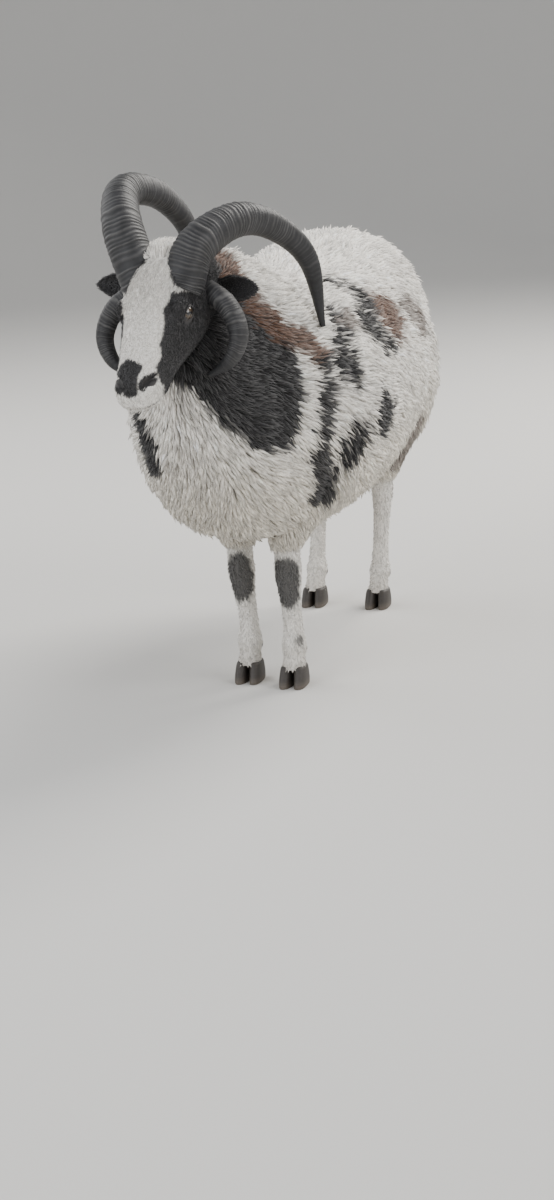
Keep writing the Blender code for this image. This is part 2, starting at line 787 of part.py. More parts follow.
def lies_inside(tree, point):
    """Whether a point is inside a closed surface."""
    place, normal, _, _ = tree.find_nearest(point)
    return (point - place).dot(normal) < 0.0


def candidates(sections, squareness, back, draw, count):
    """Random points of a loft's outline where a clump may grow, each with its lie and scale."""
    found = []
    for _ in range(count):
        position = draw.uniform(0.0, 0.985)
        angle = draw.uniform(0.0, 360.0)
        section = section_at(sections, position)
        point = section_point(section, angle, squareness)
        beside = section_point(section, angle + 2.0, squareness) - point
        ahead = section_point(section_at(sections, position + 0.015), angle, squareness) - point
        out = ahead.cross(beside).normalized()
        if out.dot(point - section.at) < 0.0:
            out.negate()
        lie = Vector((0.0, back, -1.0 + 0.4 * back))
        lie = (lie - out * lie.dot(out)).normalized()
        lie.rotate(Matrix.Rotation(math.radians(draw.uniform(-LIE_SPREAD, LIE_SPREAD)), 3, out))
        scale = math.sqrt(max(section.coat, 0.0) / COAT_DEPTH)
        found.append(Root(point, out, lie, scale))
    return found


def spread_evenly(roots, count):
    """Picks roots that lie far from one another, closer together where the coat is short."""
    chosen = [roots[0]]
    distance = [math.inf] * len(roots)
    while len(chosen) < count:
        last = chosen[-1]
        for k, root in enumerate(roots):
            apart = (root.point - last.point).length / (0.5 * (root.scale + last.scale))
            distance[k] = min(distance[k], apart)
        chosen.append(roots[max(range(len(roots)), key=distance.__getitem__)])
    return chosen


def make_clump(root, draw, collection):
    """A rounded clump of wool that lies along the coat, its highest point at the tips' outline."""
    half = Vector((CLUMP_WIDTH, CLUMP_THICKNESS, CLUMP_LENGTH)) * 0.5 * root.scale * draw.uniform(0.92, 1.10)
    lift = math.tan(math.radians(CLUMP_TILT))
    bm = bmesh.new()
    bmesh.ops.create_uvsphere(bm, u_segments=6, v_segments=4, radius=1.0)
    for vert in bm.verts:
        narrow = 1.0 - CLUMP_TAPER * vert.co.z
        along = vert.co.z * half.z
        vert.co = Vector((vert.co.x * half.x * narrow, vert.co.y * half.y * narrow + along * lift, along))
    height = max(vert.co.y for vert in bm.verts) + draw.uniform(0.0, 0.003)
    across = root.out.cross(root.lie)
    frame = Matrix((across, root.out, root.lie)).transposed().to_4x4()
    bm.transform(Matrix.Translation(root.point - root.out * height) @ frame)
    return object_from(bm, "clump", collection)


def keep_within(clump, tree, depth):
    """Moves a clump's points that stick out of a closed surface to a little inside it."""
    for vert in clump.data.vertices:
        place, normal, _, _ = tree.find_nearest(vert.co)
        if (vert.co - place).dot(normal) > -depth:
            vert.co = place - normal * depth


def make_trunk(collection):
    """Torso and neck as one solid: a core under the coat, with clumps rooted in it all over."""
    draw = random.Random(CLUMP_SEED)
    forms = [(trunk_sections(), 2.2, 1.0, 2600)] + [(limb, 2.1, 0.35, 700) for limb in limb_sections()]
    roots = []
    cores = []
    outlines = [loft("outline", form[0], 30, 24, collection, form[1]) for form in forms]
    outlines.append(head_hollow(collection))
    trees = [surface_tree(outline) for outline in outlines]
    for index, (sections, squareness, back, count) in enumerate(forms):
        others = trees[:index] + trees[index + 1 :]
        for root in candidates(sections, squareness, back, draw, count):
            if not any(lies_inside(tree, root.point) for tree in others):
                roots.append(root)
        steps = 18 if index == 0 else 6
        sides = 14 if index == 0 else 8
        cores.append(loft("core", core_of(sections), steps, sides, collection, squareness))
    for outline in outlines:
        bpy.data.objects.remove(outline, do_unlink=True)
    clumps = [make_clump(root, draw, collection) for root in spread_evenly(roots, TRUNK_CLUMPS)]
    return apply_boolean(cores[0], "UNION", cores[1:] + clumps, FLEECE_SOLVER)


def part_trunk(trunk, collection):
    """Cuts the trunk at the slanted plane into torso and neck, a thin gap apart."""
    neck = trunk.copy()
    neck.data = trunk.data.copy()
    collection.objects.link(neck)
    normal = neck_cut_normal()
    behind = half_space(NECK_CUT_POINT + normal * 0.5 * GAP, -normal, collection)
    before = half_space(NECK_CUT_POINT - normal * 0.5 * GAP, normal, collection)
    apply_boolean(neck, "DIFFERENCE", [behind])
    apply_boolean(trunk, "DIFFERENCE", [before])
    neck.name = "neck"
    trunk.name = "torso"
    return trunk, neck


def tail_outline(collection):
    """The tail's form out to its tips, which its socket in the torso follows."""
    return loft("tail_outline", tail_sections(), 12, 12, collection, 2.0)


def make_tail(collection):
    """The woolly tail: a core with clumps that stay within its outline."""
    draw = random.Random(CLUMP_SEED + 1)
    outline = tail_outline(collection)
    tree = surface_tree(outline)
    bpy.data.objects.remove(outline, do_unlink=True)
    roots = [root for root in candidates(tail_sections(), 2.0, 0.0, draw, 600) if root.scale > 0.4]
    clumps = [make_clump(root, draw, collection) for root in spread_evenly(roots, TAIL_CLUMPS)]
    for clump in clumps:
        keep_within(clump, tree, GAP)
    tail = loft("tail", core_of(tail_sections()), 12, 12, collection, 2.0)
    return apply_boolean(tail, "UNION", clumps, FLEECE_SOLVER)


def make_scrotum(collection):
    sections = [
        upright(0.0, 0.188, 0.330, 0.026, 0.026, 0.026),
        upright(0.0, 0.192, 0.296, 0.034, 0.032, 0.032),
        upright(0.0, 0.194, 0.262, 0.040, 0.036, 0.036),
        upright(0.0, 0.194, 0.232, 0.034, 0.032, 0.032),
        upright(0.0, 0.194, 0.214, 0.014, 0.014, 0.014),
    ]
    return loft("scrotum", sections, 8, 10, collection, 2.0)


def neck_cut_normal():
    """Points forwards and up from the torso into the neck."""
    lean = math.radians(NECK_CUT_LEAN)
    return Vector((0.0, -math.cos(lean), math.sin(lean)))


def recentre(collection):
    """Moves the whole ram so that its box stands on the origin."""
    low = Vector((math.inf,) * 3)
    high = Vector((-math.inf,) * 3)
    for item in collection.objects:
        for vert in item.data.vertices:
            low = Vector(map(min, low, vert.co))
            high = Vector(map(max, high, vert.co))
    shift = Matrix.Translation((-0.5 * (low.x + high.x), -0.5 * (low.y + high.y), -low.z))
    for item in collection.objects:
        item.data.transform(shift)


def dress(collection, materials):
    """Gives each object its material and smooth shading."""
    slots = {
        "torso": "white fleece",
        "neck": "white fleece",
        "tail": "white fleece",
        "head": "face hair",
        "ear": "face hair",
        "leg": "leg hair",
        "horn": "horn",
        "hoof": "hoof",
        "eye": "eye",
        "scrotum": "bare skin",
    }
    for item in collection.objects:
        item.data.materials.clear()
        item.data.materials.append(materials[slots[item.name.split("_")[0]]])
        item.data.shade_smooth()
        item.data.set_sharp_from_angle(angle=math.radians(50.0))


def main():
    clear_scene()
    ram = new_collection("jacob_ram")
    materials = {name: make_material(name) for name in COLOURS}
    head = make_head(ram)
    to_head(head)
    torso, neck = part_trunk(make_trunk(ram), ram)
    growths = []
    for side, name in ((1, "left"), (-1, "right")):
        to_head(make_eye(side, name, ram))
        upper = to_head(make_upper_horn(f"horn_upper_{name}", name, ram))
        lower = to_head(make_lower_horn(f"horn_lower_{name}", side, ram))
        ear = to_head(make_ear(name, ram))
        cut_clear(lower, [upper], ram)
        cut_clear(ear, [upper, lower], ram)
        growths += [upper, lower, ear]
    for growth in growths:
        apply_boolean(growth, "DIFFERENCE", [head_hollow(ram)])
    apply_boolean(neck, "DIFFERENCE", [head_hollow(ram)])
    cut_clear(neck, growths, ram)
    cut_clear(torso, [make_leg(corner, ram) for corner in FOOT] + [make_scrotum(ram)], ram)
    socket = tail_outline(ram)
    cut_clear(torso, [socket], ram)
    bpy.data.objects.remove(socket, do_unlink=True)
    make_tail(ram)
    for corner in FOOT:
        make_hoof(corner, ram)
    recentre(ram)
    dress(ram, materials)


main()
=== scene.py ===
"""The looks of a standing four-horned piebald ram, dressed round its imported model.

The ram is worked out in its maker's own frame, where it faces -Y and stands on Z = 0 with its left
side at +X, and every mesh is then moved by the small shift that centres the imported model.
"""

from __future__ import annotations

import logging
import math
from dataclasses import dataclass, fields
from enum import Enum
from typing import Iterable, Sequence

import bmesh
import bpy
import numpy as np
from mathutils import Matrix, Vector
from mathutils.bvhtree import BVHTree
from mathutils.kdtree import KDTree

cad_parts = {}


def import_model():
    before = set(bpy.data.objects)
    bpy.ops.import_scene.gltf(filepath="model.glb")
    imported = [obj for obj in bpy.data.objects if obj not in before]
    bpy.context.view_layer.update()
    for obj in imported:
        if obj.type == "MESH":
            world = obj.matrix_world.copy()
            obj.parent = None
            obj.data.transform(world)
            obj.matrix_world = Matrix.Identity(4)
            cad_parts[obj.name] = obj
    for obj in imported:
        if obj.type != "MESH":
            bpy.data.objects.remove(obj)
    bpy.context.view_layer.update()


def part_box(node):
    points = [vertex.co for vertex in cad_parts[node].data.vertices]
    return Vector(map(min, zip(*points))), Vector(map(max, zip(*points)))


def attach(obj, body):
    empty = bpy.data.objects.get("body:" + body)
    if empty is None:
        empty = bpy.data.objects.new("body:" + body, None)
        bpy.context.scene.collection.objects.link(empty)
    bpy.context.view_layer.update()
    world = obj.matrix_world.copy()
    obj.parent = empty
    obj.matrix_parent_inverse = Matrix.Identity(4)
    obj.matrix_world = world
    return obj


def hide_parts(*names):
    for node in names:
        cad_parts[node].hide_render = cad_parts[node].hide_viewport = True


LOG = logging.getLogger("ram")

Array = np.ndarray
Piece = bpy.types.Object
Triple = tuple[float, float, float]
Sections = list[tuple[float, ...]]

HEAD_POINT = (-0.030, -0.556, 0.706)
HEAD_TURN = -5.0
EYE_PLACE = (0.0465, -0.060, -0.032)
EYE_RADIUS = 0.0135
FACE_TOP = (0.0, -0.045, 0.047)
FACE_SLOPE = 53.5
FACE_LENGTH = 0.232
FACE_DOWN = (0.0, -math.cos(math.radians(FACE_SLOPE)), -math.sin(math.radians(FACE_SLOPE)))
FACE_INTO = (0.0, math.sin(math.radians(FACE_SLOPE)), -math.cos(math.radians(FACE_SLOPE)))
COAT_DEPTH = 0.024
TAIL_COAT_DEPTH = 0.011
HOOF_HEIGHT = 0.034
FOOT = {
    "front_left": (0.056, -0.292),
    "front_right": (-0.030, -0.268),
    "hind_left": (0.074, 0.258),
    "hind_right": (-0.056, 0.268),
}
FRONT_LEG_SPLAY = {"front_left": 0.0, "front_right": -0.007}
COLOUR_NAME = "coat_colour"
BAKE_MAP = "OFBake"
PATCH_SIZE = 0.003
MAP_STRIPS = 6.0


class Side(Enum):
    """The ram's two sides, as the sign of X."""

    LEFT = 1
    RIGHT = -1

    @property
    def word(self) -> str:
        """The side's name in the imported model's node names."""
        return self.name.lower()


def smooth_read(table: Array, place: Array) -> Array:
    """Reads rows of a table along a smooth curve.

    Args:
        table: Rows of values at even steps.
        place: Where to read, from 0 to 1.

    Returns:
        One row for each place.
    """
    last = len(table) - 1
    scaled = np.clip(place, 0.0, 1.0) * last
    index = np.minimum(scaled.astype(int), last - 1)
    t = (scaled - index)[:, None]
    padded = np.vstack([2 * table[0] - table[1], table, 2 * table[-1] - table[-2]])
    before, here, there, after = (padded[index + k] for k in range(4))
    slope_here = 0.5 * (there - before)
    slope_there = 0.5 * (after - here)
    return (
        here * (2 * t**3 - 3 * t**2 + 1)
        + slope_here * (t**3 - 2 * t**2 + t)
        + there * (-2 * t**3 + 3 * t**2)
        + slope_there * (t**3 - t**2)
    )


def smooth_step(low: float, high: float, value: Array) -> Array:
    """Rises smoothly from 0 to 1 as a value goes from low to high."""
    t = np.clip((value - low) / (high - low), 0.0, 1.0)
    return t * t * (3.0 - 2.0 * t)


def unit(vectors: Array) -> Array:
    """Scales each row to length one."""
    return vectors / np.maximum(np.linalg.norm(vectors, axis=-1, keepdims=True), 1e-12)


def waves(points: Array, size: float, seed: int) -> Array:
    """A soft random field made of a few crossing waves.

    Args:
        points: Places in metres.
        size: About how far apart the field's bumps are.
        seed: Which field.

    Returns:
        Values of about -1 to 1.
    """
    draw = np.random.default_rng(seed)
    total = np.zeros(len(points))
    for _ in range(7):
        direction = unit(draw.normal(size=3)) * (2.0 * math.pi / size) * draw.uniform(0.6, 1.7)
        total += np.sin(points @ direction + draw.uniform(0.0, 6.28))
    return total / 3.2


@dataclass
class Loft:
    """A run of cross-sections, each with a place, a lean, a turn, three half sizes and a coat."""

    rows: Sections
    squareness: float = 2.2

    def read(self, place: Array) -> Array:
        """Reads the sections: x, y, z, lean, turn, half width, up, down, coat."""
        return smooth_read(np.array(self.rows), place)

    def points(
        self, place: Array, angle: Array, sunk: float = 0.0, coat: float = 0.0
    ) -> Array:
        """Finds points of the surface.

        Args:
            place: Places along the run, from 0 to 1.
            angle: Degrees round the section, 0 at the ram's left and 90 on top.
            sunk: How far under the tips' outline, as a length.
            coat: How far under it, as a share of the coat.

        Returns:
            One point for each place.
        """
        x0, y0, z0, lean, turn, wide, up, down, depth = self.read(place).T
        less = sunk + coat * depth
        across, along = np.cos(np.radians(angle)), np.sin(np.radians(angle))
        power = 2.0 / self.squareness
        x = np.sign(across) * np.abs(across) ** power * np.maximum(wide - less, 0.001)
        height = np.where(along > 0, up, down)
        z = np.sign(along) * np.abs(along) ** power * np.maximum(height - less, 0.001)
        lean, turn = np.radians(lean), np.radians(turn)
        y_turned, z_turned = -np.sin(lean) * z, np.cos(lean) * z
        return np.stack(
            [
                x0 + np.cos(turn) * x - np.sin(turn) * y_turned,
                y0 + np.sin(turn) * x + np.cos(turn) * y_turned,
                z0 + z_turned,
            ],
            axis=1,
        )

    def mesh(self, steps: int, sides: int, sunk: float = 0.0, coat: float = 0.0) -> bmesh.types.BMesh:
        """Skins the run as a closed mesh.

        Args:
            steps: How many steps along the run.
            sides: How many points round it.
            sunk: How far under the tips' outline, as a length.
            coat: How far under it, as a share of the coat.

        Returns:
            The closed mesh.
        """
        bm = bmesh.new()
        rings = []
        angles = 360.0 * np.arange(sides) / sides
        ends = np.linspace(0.0, 1.0, steps + 1)
        for place in ends:
            ring = bmesh.ops.create_circle(bm, cap_ends=False, radius=1.0, segments=sides)["verts"]
            for vert, point in zip(ring, self.points(np.full(sides, place), angles, sunk, coat)):
                vert.co = point
            rings.append(ring)
        bridge_rings(bm, rings)
        return bm


def ring_edges(ring: Sequence[bmesh.types.BMVert]) -> list[bmesh.types.BMEdge]:
    """The edges that join a ring's own points.

    Args:
        ring: The ring's points.

    Returns:
        The edges, once each.
    """
    members = set(ring)
    return [
        edge
        for vert in ring
        for edge in vert.link_edges
        if edge.other_vert(vert) in members and edge.verts[0] is vert
    ]


def bridge_rings(bm: bmesh.types.BMesh, rings: Sequence[Sequence[bmesh.types.BMVert]]) -> None:
    """Joins rings of points one after another, closes both ends and points the faces out.

    Args:
        bm: The mesh being built.
        rings: Rings of as many points each, in order.
    """
    edges = [ring_edges(ring) for ring in rings]
    bmesh.ops.contextual_create(bm, geom=edges[0])
    bmesh.ops.contextual_create(bm, geom=edges[-1])
    for first, second in zip(edges, edges[1:]):
        bmesh.ops.bridge_loops(bm, edges=first + second)
    bmesh.ops.recalc_face_normals(bm, faces=bm.faces)


def add_object(bm: bmesh.types.BMesh, name: str) -> Piece:
    """Makes an object of a bmesh and puts it in the scene.

    Args:
        bm: The mesh, which is used up.
        name: The name to give it.

    Returns:
        The object.
    """
    mesh = bpy.data.meshes.new(name)
    bm.to_mesh(mesh)
    bm.free()
    item = bpy.data.objects.new(name, mesh)
    bpy.context.scene.collection.objects.link(item)
    return item


def drop(item: Piece) -> None:
    """Removes an object that was only a tool."""
    bpy.data.objects.remove(item, do_unlink=True)


def settle(item: Piece) -> Piece:
    """Applies an object's modifiers to its mesh.

    Args:
        item: The object.

    Returns:
        The same object.
    """
    bpy.context.view_layer.update()
    evaluated = item.evaluated_get(bpy.context.evaluated_depsgraph_get())
    mesh = bpy.data.meshes.new_from_object(evaluated)
    item.modifiers.clear()
    item.data = mesh
    return item


def combine(item: Piece, operation: str, others: Iterable[Piece]) -> Piece:
    """Joins or cuts a closed mesh with others, which then go.

    Args:
        item: The mesh that changes.
        operation: UNION or DIFFERENCE.
        others: The meshes that are used up.

    Returns:
        The changed object.
    """
    for other in others:
        modifier = item.modifiers.new("combine", "BOOLEAN")
        modifier.operation = operation
        modifier.solver = "MANIFOLD"
        modifier.object = other
        settle(item)
        drop(other)
    return item


def remeshed(item: Piece, voxel: float) -> Piece:
    """Makes one even closed mesh of overlapping ones.

    Args:
        item: The object.
        voxel: The grid's size.

    Returns:
        The same object.
    """
    modifier = item.modifiers.new("remesh", "REMESH")
    modifier.mode = "VOXEL"
    modifier.voxel_size = voxel
    modifier.adaptivity = 0.0
    return settle(item)


def relaxed(item: Piece, times: int) -> Piece:
    """Evens out a surface by drawing each point towards its neighbours.

    Args:
        item: The object.
        times: How many times.

    Returns:
        The same object.
    """
    modifier = item.modifiers.new("relax", "SMOOTH")
    modifier.factor = 0.5
    modifier.iterations = times
    return settle(item)


def joined(parts: Sequence[bmesh.types.BMesh], name: str) -> Piece:
    """Puts several meshes into one object.

    Args:
        parts: The meshes, which are used up.
        name: The name to give it.

    Returns:
        The object.
    """
    whole = bmesh.new()
    for part in parts:
        mesh = bpy.data.meshes.new("part")
        part.to_mesh(mesh)
        part.free()
        whole.from_mesh(mesh)
        bpy.data.meshes.remove(mesh)
    return add_object(whole, name)


def vertex_array(mesh: bpy.types.Mesh) -> Array:
    """A mesh's points as rows.

    Args:
        mesh: The mesh.

    Returns:
        A point in each row.
    """
    flat = np.empty(len(mesh.vertices) * 3, dtype=np.float32)
    mesh.vertices.foreach_get("co", flat)
    return flat.reshape(-1, 3).astype(float)


def set_vertices(mesh: bpy.types.Mesh, points: Array) -> None:
    """Writes a mesh's points from rows."""
    mesh.vertices.foreach_set("co", points.astype(np.float32).ravel())
    mesh.update()


def normal_array(mesh: bpy.types.Mesh) -> Array:
    """A mesh's point normals as rows.

    Args:
        mesh: The mesh.

    Returns:
        A normal in each row.
    """
    flat = np.empty(len(mesh.vertices) * 3, dtype=np.float32)
    mesh.vertex_normals.foreach_get("vector", flat)
    return flat.reshape(-1, 3).astype(float)


def tree_of(item: Piece) -> BVHTree:
    """A search tree over an object's surface.

    Args:
        item: The object.

    Returns:
        The search tree.
    """
    bm = bmesh.new()
    bm.from_mesh(item.data)
    tree = BVHTree.FromBMesh(bm)
    bm.free()
    return tree


def tree_of_bmesh(bm: bmesh.types.BMesh) -> BVHTree:
    """A search tree over a bmesh, which then goes.

    Args:
        bm: The mesh.

    Returns:
        The search tree.
    """
    tree = BVHTree.FromBMesh(bm)
    bm.free()
    return tree


def inside(tree: BVHTree, points: Array) -> Array:
    """Tells which points are inside a closed surface, by how often a ray from each leaves it.

    Args:
        tree: The surface's search tree.
        points: Places, one in each row.

    Returns:
        True for each place that is inside.
    """
    direction = Vector((0.36, 0.48, 0.80))
    found = np.zeros(len(points), dtype=bool)
    for k, point in enumerate(points):
        start = Vector(point)
        place = tree.ray_cast(start, direction)[0]
        while place is not None:
            found[k] = not found[k]
            place = tree.ray_cast(place + direction * 1e-5, direction)[0]
    return found


def paint(mesh: bpy.types.Mesh, colours: Array) -> None:
    """Stores a colour at each point of a mesh.

    Args:
        mesh: The mesh.
        colours: A colour for each point.
    """
    layer = mesh.color_attributes.new(COLOUR_NAME, "FLOAT_COLOR", "POINT")
    rows = np.ones((len(mesh.vertices), 4), dtype=np.float32)
    rows[:, :3] = colours
    layer.data.foreach_set("color", rows.ravel())


class Body:
    """The ram's form: lofts out to the tips of the coat, in the maker's frame."""

    # How far up the barrel its widest line is.
    barrel_middle = 0.46

    def __init__(self) -> None:
        """Works out every form."""
        self.trunk = Loft(self.trunk_rows(), 2.2)
        self.haunches = [Loft(self.haunch_rows(side), 2.1) for side in Side]
        self.shoulders = [Loft(self.shoulder_rows(side), 2.1) for side in Side]
        self.tail = Loft(self.tail_rows(), 2.0)
        self.legs = {corner: Loft(self.leg_rows(corner), 2.1) for corner in FOOT}
        self.scrotum = Loft(self.scrotum_rows(), 2.0)

    @staticmethod
    def trunk_rows() -> Sections:
        """Torso and neck, from the buttocks to behind the ears.

        Returns:
            The loft's sections.
        """
        barrel = [
            # back from the middle, half width, top, bottom
            (0.438, 0.050, 0.635, 0.500),
            (0.421, 0.108, 0.682, 0.430),
            (0.373, 0.162, 0.714, 0.362),
            (0.296, 0.188, 0.724, 0.318),
            (0.196, 0.202, 0.720, 0.288),
            (0.076, 0.210, 0.706, 0.270),
            (-0.052, 0.214, 0.696, 0.258),
        ]
        rows = []
        for y, wide, top, bottom in barrel:
            middle = bottom + Body.barrel_middle * (top - bottom)
            rows.append((0.0, y, middle, 0.0, 0.0, wide, top - middle, middle - bottom, COAT_DEPTH))
        neck = [
            # right of the middle, front, height, lean, turn, half width, up, down, share of the coat
            (0.000, 0.160, 0.460, 3.0, 0.0, 0.212, 0.234, 0.206, 1.0),
            (0.000, 0.250, 0.472, 8.0, 0.0, 0.201, 0.224, 0.214, 1.0),
            (0.004, 0.330, 0.500, 16.0, 0.0, 0.178, 0.212, 0.226, 1.0),
            (0.012, 0.398, 0.546, 25.0, 0.0, 0.148, 0.197, 0.218, 1.0),
            (0.020, 0.454, 0.596, 34.0, 2.0, 0.117, 0.180, 0.186, 0.9),
            (0.026, 0.502, 0.643, 42.0, 4.0, 0.091, 0.143, 0.122, 0.7),
            (0.030, 0.538, 0.680, 50.0, 5.0, 0.066, 0.092, 0.074, 0.5),
        ]
        for right, front, height, lean, turn, wide, up, down, share in neck:
            rows.append((-right, -front, height, -lean, -turn, wide, up, down, COAT_DEPTH * share))
        return rows

    @staticmethod
    def standing(rows: Sequence[tuple[float, ...]]) -> Sections:
        """Sections of a standing limb, whose up half is the front and whose down half is the back.

        Args:
            rows: Left, back, height, half width, front and back, and the coat's depth where it has one.

        Returns:
            The loft's sections.
        """
        return [(*row[:3], 90.0, 0.0, *row[3:6], row[6] if len(row) > 6 else 0.0) for row in rows]

    def haunch_rows(self, side: Side) -> Sections:
        """The woolled thigh, from the hip down to above the hock.

        Args:
            side: Which side of the ram.

        Returns:
            The loft's sections.
        """
        sign = side.value
        x, y = FOOT[f"hind_{side.word}"]
        return self.standing([
            (0.100 * sign, 0.265, 0.640, 0.048, 0.050, 0.060, COAT_DEPTH),
            (0.114 * sign, 0.275, 0.545, 0.074, 0.100, 0.125, COAT_DEPTH),
            (0.119 * sign, 0.281, 0.450, 0.078, 0.110, 0.134, COAT_DEPTH),
            (0.111 * sign, 0.290, 0.365, 0.065, 0.086, 0.112, 0.8 * COAT_DEPTH),
            (x * 1.20, 0.304, 0.300, 0.046, 0.058, 0.070, 0.45 * COAT_DEPTH),
            (x * 1.07, y + 0.046, 0.248, 0.0285, 0.038, 0.036, 0.15 * COAT_DEPTH),
        ])

    def shoulder_rows(self, side: Side) -> Sections:
        """The woolled shoulder and forearm, down to where the bare leg shows.

        Args:
            side: Which side of the ram.

        Returns:
            The loft's sections.
        """
        sign = side.value
        corner = f"front_{side.word}"
        x, y = FOOT[corner]
        elbow = x + 0.8 * FRONT_LEG_SPLAY[corner]
        return self.standing([
            (0.100 * sign, -0.250, 0.560, 0.050, 0.060, 0.060, COAT_DEPTH),
            (0.122 * sign, -0.270, 0.460, 0.066, 0.090, 0.080, COAT_DEPTH),
            (0.100 * sign + 0.012, -0.290, 0.350, 0.062, 0.080, 0.070, 0.8 * COAT_DEPTH),
            (elbow + 0.010 * sign, y - 0.004, 0.280, 0.044, 0.050, 0.050, 0.4 * COAT_DEPTH),
            (elbow, y - 0.004, 0.246, 0.0285, 0.033, 0.034, 0.15 * COAT_DEPTH),
        ])

    def tail_rows(self) -> Sections:
        """The woolly tail, hanging to above the hocks.

        Returns:
            The loft's sections.
        """
        return self.standing([
            (0.0, 0.405, 0.640, 0.032, 0.028, 0.022),
            (0.0, 0.440, 0.612, 0.038, 0.024, 0.024, 0.2 * TAIL_COAT_DEPTH),
            (0.0, 0.458, 0.545, 0.042, 0.026, 0.026, TAIL_COAT_DEPTH),
            (0.0, 0.460, 0.470, 0.040, 0.026, 0.026, TAIL_COAT_DEPTH),
            (0.0, 0.455, 0.400, 0.033, 0.022, 0.022, TAIL_COAT_DEPTH),
            (0.0, 0.448, 0.345, 0.014, 0.012, 0.012, 0.5 * TAIL_COAT_DEPTH),
        ])

    def leg_rows(self, corner: str) -> Sections:
        """One leg, from inside the body down to the top of the hoof.

        Args:
            corner: Which leg.

        Returns:
            The loft's sections.
        """
        x, y = FOOT[corner]
        if corner.startswith("front"):
            splay = FRONT_LEG_SPLAY[corner]
            return self.standing([
                (x + splay, y - 0.002, 0.330, 0.030, 0.034, 0.036),
                (x + 0.85 * splay, y - 0.003, 0.272, 0.025, 0.029, 0.031),
                (x + 0.70 * splay, y - 0.004, 0.232, 0.0215, 0.026, 0.025),
                (x + 0.55 * splay, y - 0.004, 0.196, 0.0225, 0.027, 0.022),
                (x + 0.35 * splay, y - 0.002, 0.160, 0.0185, 0.021, 0.020),
                (x, y + 0.002, 0.125, 0.0160, 0.017, 0.018),
                (x, y + 0.006, 0.092, 0.0168, 0.018, 0.019),
                (x, y + 0.006, 0.070, 0.0205, 0.022, 0.023),
                (x, y + 0.003, 0.050, 0.0185, 0.020, 0.020),
                (x, y - 0.002, HOOF_HEIGHT - 0.003, 0.0205, 0.024, 0.022),
            ])
        return self.standing([
            (x * 1.14, y - 0.020, 0.370, 0.036, 0.060, 0.060),
            (x * 1.10, y + 0.020, 0.300, 0.026, 0.040, 0.040),
            (x * 1.06, y + 0.050, 0.250, 0.0205, 0.030, 0.030),
            (x * 1.04, y + 0.060, 0.215, 0.0200, 0.027, 0.027),
            (x * 1.02, y + 0.056, 0.180, 0.0165, 0.020, 0.021),
            (x, y + 0.044, 0.135, 0.0145, 0.0165, 0.0175),
            (x, y + 0.030, 0.092, 0.0155, 0.018, 0.018),
            (x, y + 0.022, 0.070, 0.0195, 0.021, 0.021),
            (x, y + 0.010, 0.050, 0.0175, 0.019, 0.019),
            (x, y - 0.002, HOOF_HEIGHT - 0.003, 0.0195, 0.023, 0.021),
        ])

    def scrotum_rows(self) -> Sections:
        """The scrotum, hanging before the hind legs.

        Returns:
            The loft's sections.
        """
        return self.standing([
            (0.0, 0.188, 0.330, 0.026, 0.026, 0.026),
            (0.0, 0.192, 0.296, 0.034, 0.032, 0.032),
            (0.0, 0.194, 0.262, 0.040, 0.036, 0.036),
            (0.0, 0.194, 0.232, 0.034, 0.032, 0.032),
            (0.0, 0.194, 0.214, 0.014, 0.014, 0.014),
        ])

    def woolled(self) -> list[Loft]:
        """The forms that carry long wool."""
        return [self.trunk, *self.haunches, *self.shoulders, self.tail]


class HeadForm:
    """The bare form of the head, in the head's own frame and in the maker's frame."""

    squareness = 2.35

    def __init__(self) -> None:
        """Works out the head's sections and its place on the ram."""
        profile = [
            # along the face, top, bottom, half width
            (-0.052, 0.045, 0.100, 0.036),
            (-0.034, 0.020, 0.126, 0.055),
            (0.000, 0.002, 0.140, 0.064),
            (0.038, 0.000, 0.141, 0.065),
            (0.075, 0.000, 0.131, 0.060),
            (0.106, -0.002, 0.115, 0.051),
            (0.136, -0.003, 0.099, 0.044),
            (0.166, -0.001, 0.085, 0.039),
            (0.190, 0.002, 0.074, 0.037),
            (0.210, 0.008, 0.064, 0.035),
            (0.224, 0.019, 0.052, 0.028),
            (FACE_LENGTH, 0.030, 0.042, 0.015),
        ]
        rows = []
        for along, top, bottom, wide in profile:
            place = self.face_point(along, 0.5 * (top + bottom))
            half = 0.5 * (bottom - top)
            rows.append((*place, FACE_SLOPE, 0.0, wide, half, half, 0.0))
        self.loft = Loft(rows, self.squareness)
        self.place = Matrix.Translation(HEAD_POINT) @ Matrix.Rotation(math.radians(HEAD_TURN), 4, "Z")

    @staticmethod
    def face_point(along: float, depth: float, across: float = 0.0) -> Vector:
        """A point by its distance down the face, its depth under the profile and its side."""
        down, into = Vector(FACE_DOWN), Vector(FACE_INTO)
        return Vector(FACE_TOP) + down * along + into * depth + Vector((across, 0.0, 0.0))

    @staticmethod
    def face_rows(points: Array) -> tuple[Array, Array, Array]:
        """Reads points of the head's frame as along, depth and across."""
        away = points - np.array(FACE_TOP)
        return away @ np.array(FACE_DOWN), away @ np.array(FACE_INTO), points[:, 0]

    def to_head(self, points: Array) -> Array:
        """Takes points of the maker's frame to the head's own frame."""
        inverse = np.array(self.place.inverted())
        return points @ inverse[:3, :3].T + inverse[:3, 3]

    def region(self, points: Array, half: float, back: float) -> Array:
        """Tells which places of the ram are on the head.

        Args:
            points: Places in the maker's frame.
            half: How far from the middle it reaches.
            back: How far back it reaches.

        Returns:
            True for each place on the head.
        """
        own = self.to_head(points)
        along, _, across = self.face_rows(own)
        return (along > -0.10) & (np.abs(across) < half) & (own[:, 1] < back) & (points[:, 1] < -0.43)


